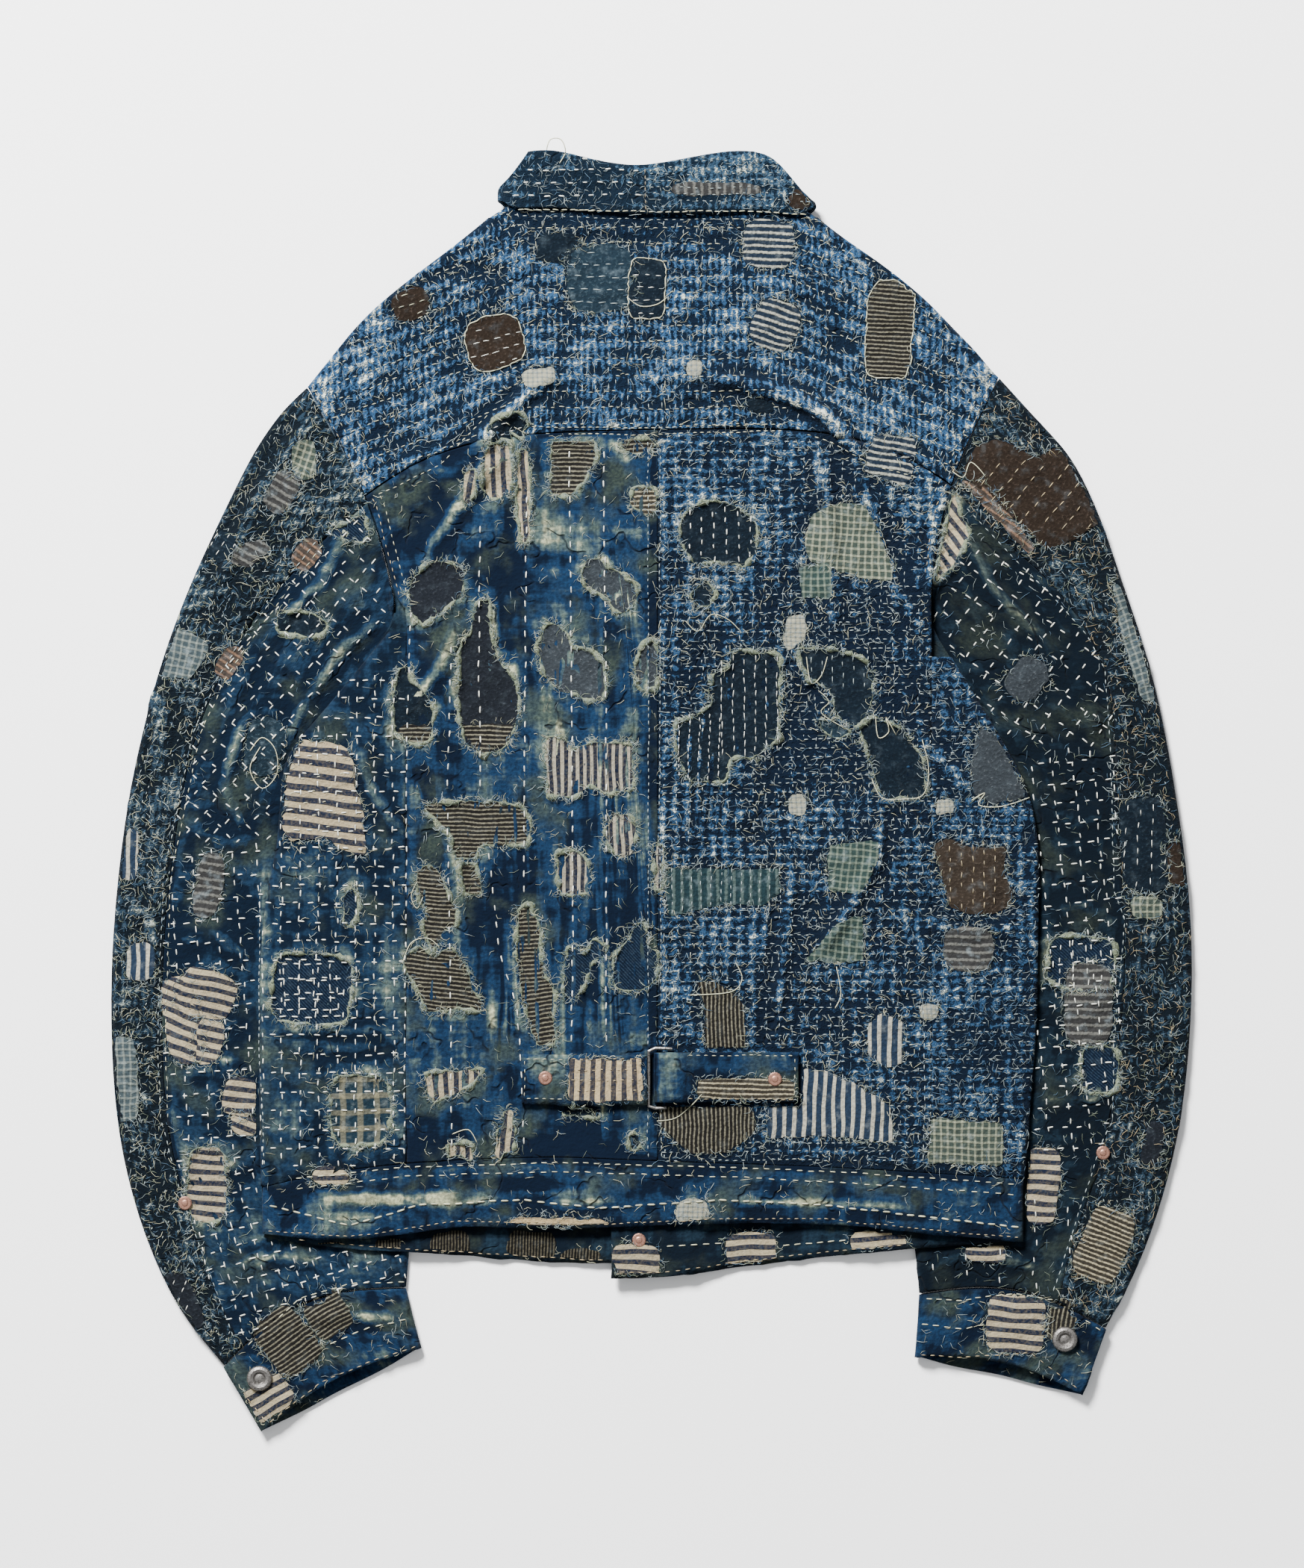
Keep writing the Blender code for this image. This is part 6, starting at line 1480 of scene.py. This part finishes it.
def tube(flat, z, size, start):
    """A thin three-sided tube along a path: its points, and its faces from a first point on."""
    count = len(flat)
    points, faces = [], []
    for k in range(count):
        heading = flat[min(k + 1, count - 1)] - flat[max(k - 1, 0)]
        heading = heading / max(np.hypot(*heading), TINY)
        taper = 0.7 if k in (0, count - 1) else 1.0
        side = np.array((-heading[1], heading[0])) * size * taper
        top = z[k] + size * 1.1 * taper
        points += [(*(flat[k] - side), z[k]), (*flat[k], top), (*(flat[k] + side), z[k])]
    for a in range(start, start + 3 * (count - 1), 3):
        faces += [(a, a + 1, a + 4, a + 3), (a + 1, a + 2, a + 5, a + 4), (a + 2, a, a + 3, a + 5)]
    last = start + 3 * (count - 1)
    return points, faces + [(start, start + 2, start + 1), (last, last + 1, last + 2)]


def make_threads(name, items):
    """All threads of a panel as one mesh."""
    points, faces, tints = [], [], []
    for path, radius, tint in items:
        flat = np.array([spot(*place) for place in path])
        loose = radius < FIBRE_RADIUS
        shown = OWNER[cell_of(flat[:, 0], flat[:, 1])] >= 0
        if not shown.any() or (radius > THIN_STITCH and tint != "seam" and not shown.all()):
            continue
        z = height_at(flat[:, 0], flat[:, 1])
        if len(path) <= SHORT and np.ptp(z) > STEP_DOWN:
            continue
        z = np.where(shown, z, np.median(z[shown]) - OVERHANG) + sunk_by(len(path), loose, tint) * MM
        colour = np.array(TINTS[tint]) * random.uniform(LEAST_TINT[loose], MOST_TINT)
        added, between = tube(flat, z, radius * MM, len(points))
        points += added
        faces += between
        tints += [(*colour, 1.0)] * len(added)
    mesh = bpy.data.meshes.new(name)
    mesh.from_pydata(points, [], faces)
    set_attribute(mesh, "tint", "FLOAT_COLOR", tints)
    return add_piece(name, mesh, [THREAD])


# Pieces attached to the root, and the fastenings' metals

with_pieces = {row[0]: [] for row in PANELS}
for node, gathered in patch_sets.items():
    with_pieces[node].append(gathered.piece("patches_" + node))
for node, items in threads.items():
    with_pieces[node].append(make_threads("threads_" + node, items))
for node, cloth, width, length, cut, levels in PANELS:
    for piece in [panels[node]] + with_pieces[node]:
        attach(piece, "root")
    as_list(with_pieces[node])
for node, metal in FASTENINGS:
    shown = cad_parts[node]
    shown.data.materials.clear()
    shown.data.materials.append(METALS[metal])
    shown.data.polygons.foreach_set("use_smooth", [True] * len(shown.data.polygons))


# Floor, light and camera

PAPER, FLOOR_SIZE, FLOOR_Z = (0.97, 0.97, 0.97, 1.0), 60.0, -0.0002
SKY, SKY_STRENGTH = (0.97, 0.985, 1.0, 1.0), 0.62
KEY_PLACE, KEY_SIZE, KEY_POWER = (-1.4, 2.8, 2.7), 1.1, 860.0
CAMERA_PLACE, LENS, SENSOR = (-0.0002, 0.0041, 4.0), 144.0, 36.0


def add_object(name, data, place):
    made = bpy.data.objects.new(name, data)
    made.location = place
    bpy.context.scene.collection.objects.link(made)
    return made


def lay_floor():
    bpy.ops.mesh.primitive_plane_add(size=FLOOR_SIZE, location=(0.0, 0.0, FLOOR_Z))
    floor = bpy.context.object
    floor.name = "floor"
    paper = bpy.data.materials.new("paper")
    paper.use_nodes = True
    shader = paper.node_tree.nodes["Principled BSDF"]
    shader.inputs["Base Color"].default_value = PAPER
    shader.inputs["Roughness"].default_value = 0.9
    floor.data.materials.append(paper)


def light_studio():
    world = bpy.data.worlds.new("studio")
    bpy.context.scene.world = world
    world.use_nodes = True
    background = world.node_tree.nodes["Background"]
    background.inputs[0].default_value = SKY
    background.inputs[1].default_value = SKY_STRENGTH
    data = bpy.data.lights.new("key", "AREA")
    data.energy = KEY_POWER
    data.size = KEY_SIZE
    key = add_object("key", data, KEY_PLACE)
    key.rotation_euler = (-key.location).to_track_quat("-Z", "Y").to_euler()


def place_camera():
    data = bpy.data.cameras.new("camera")
    data.lens = LENS
    data.sensor_width = SENSOR
    bpy.context.scene.camera = add_object("camera", data, CAMERA_PLACE)


lay_floor()
light_studio()
place_camera()
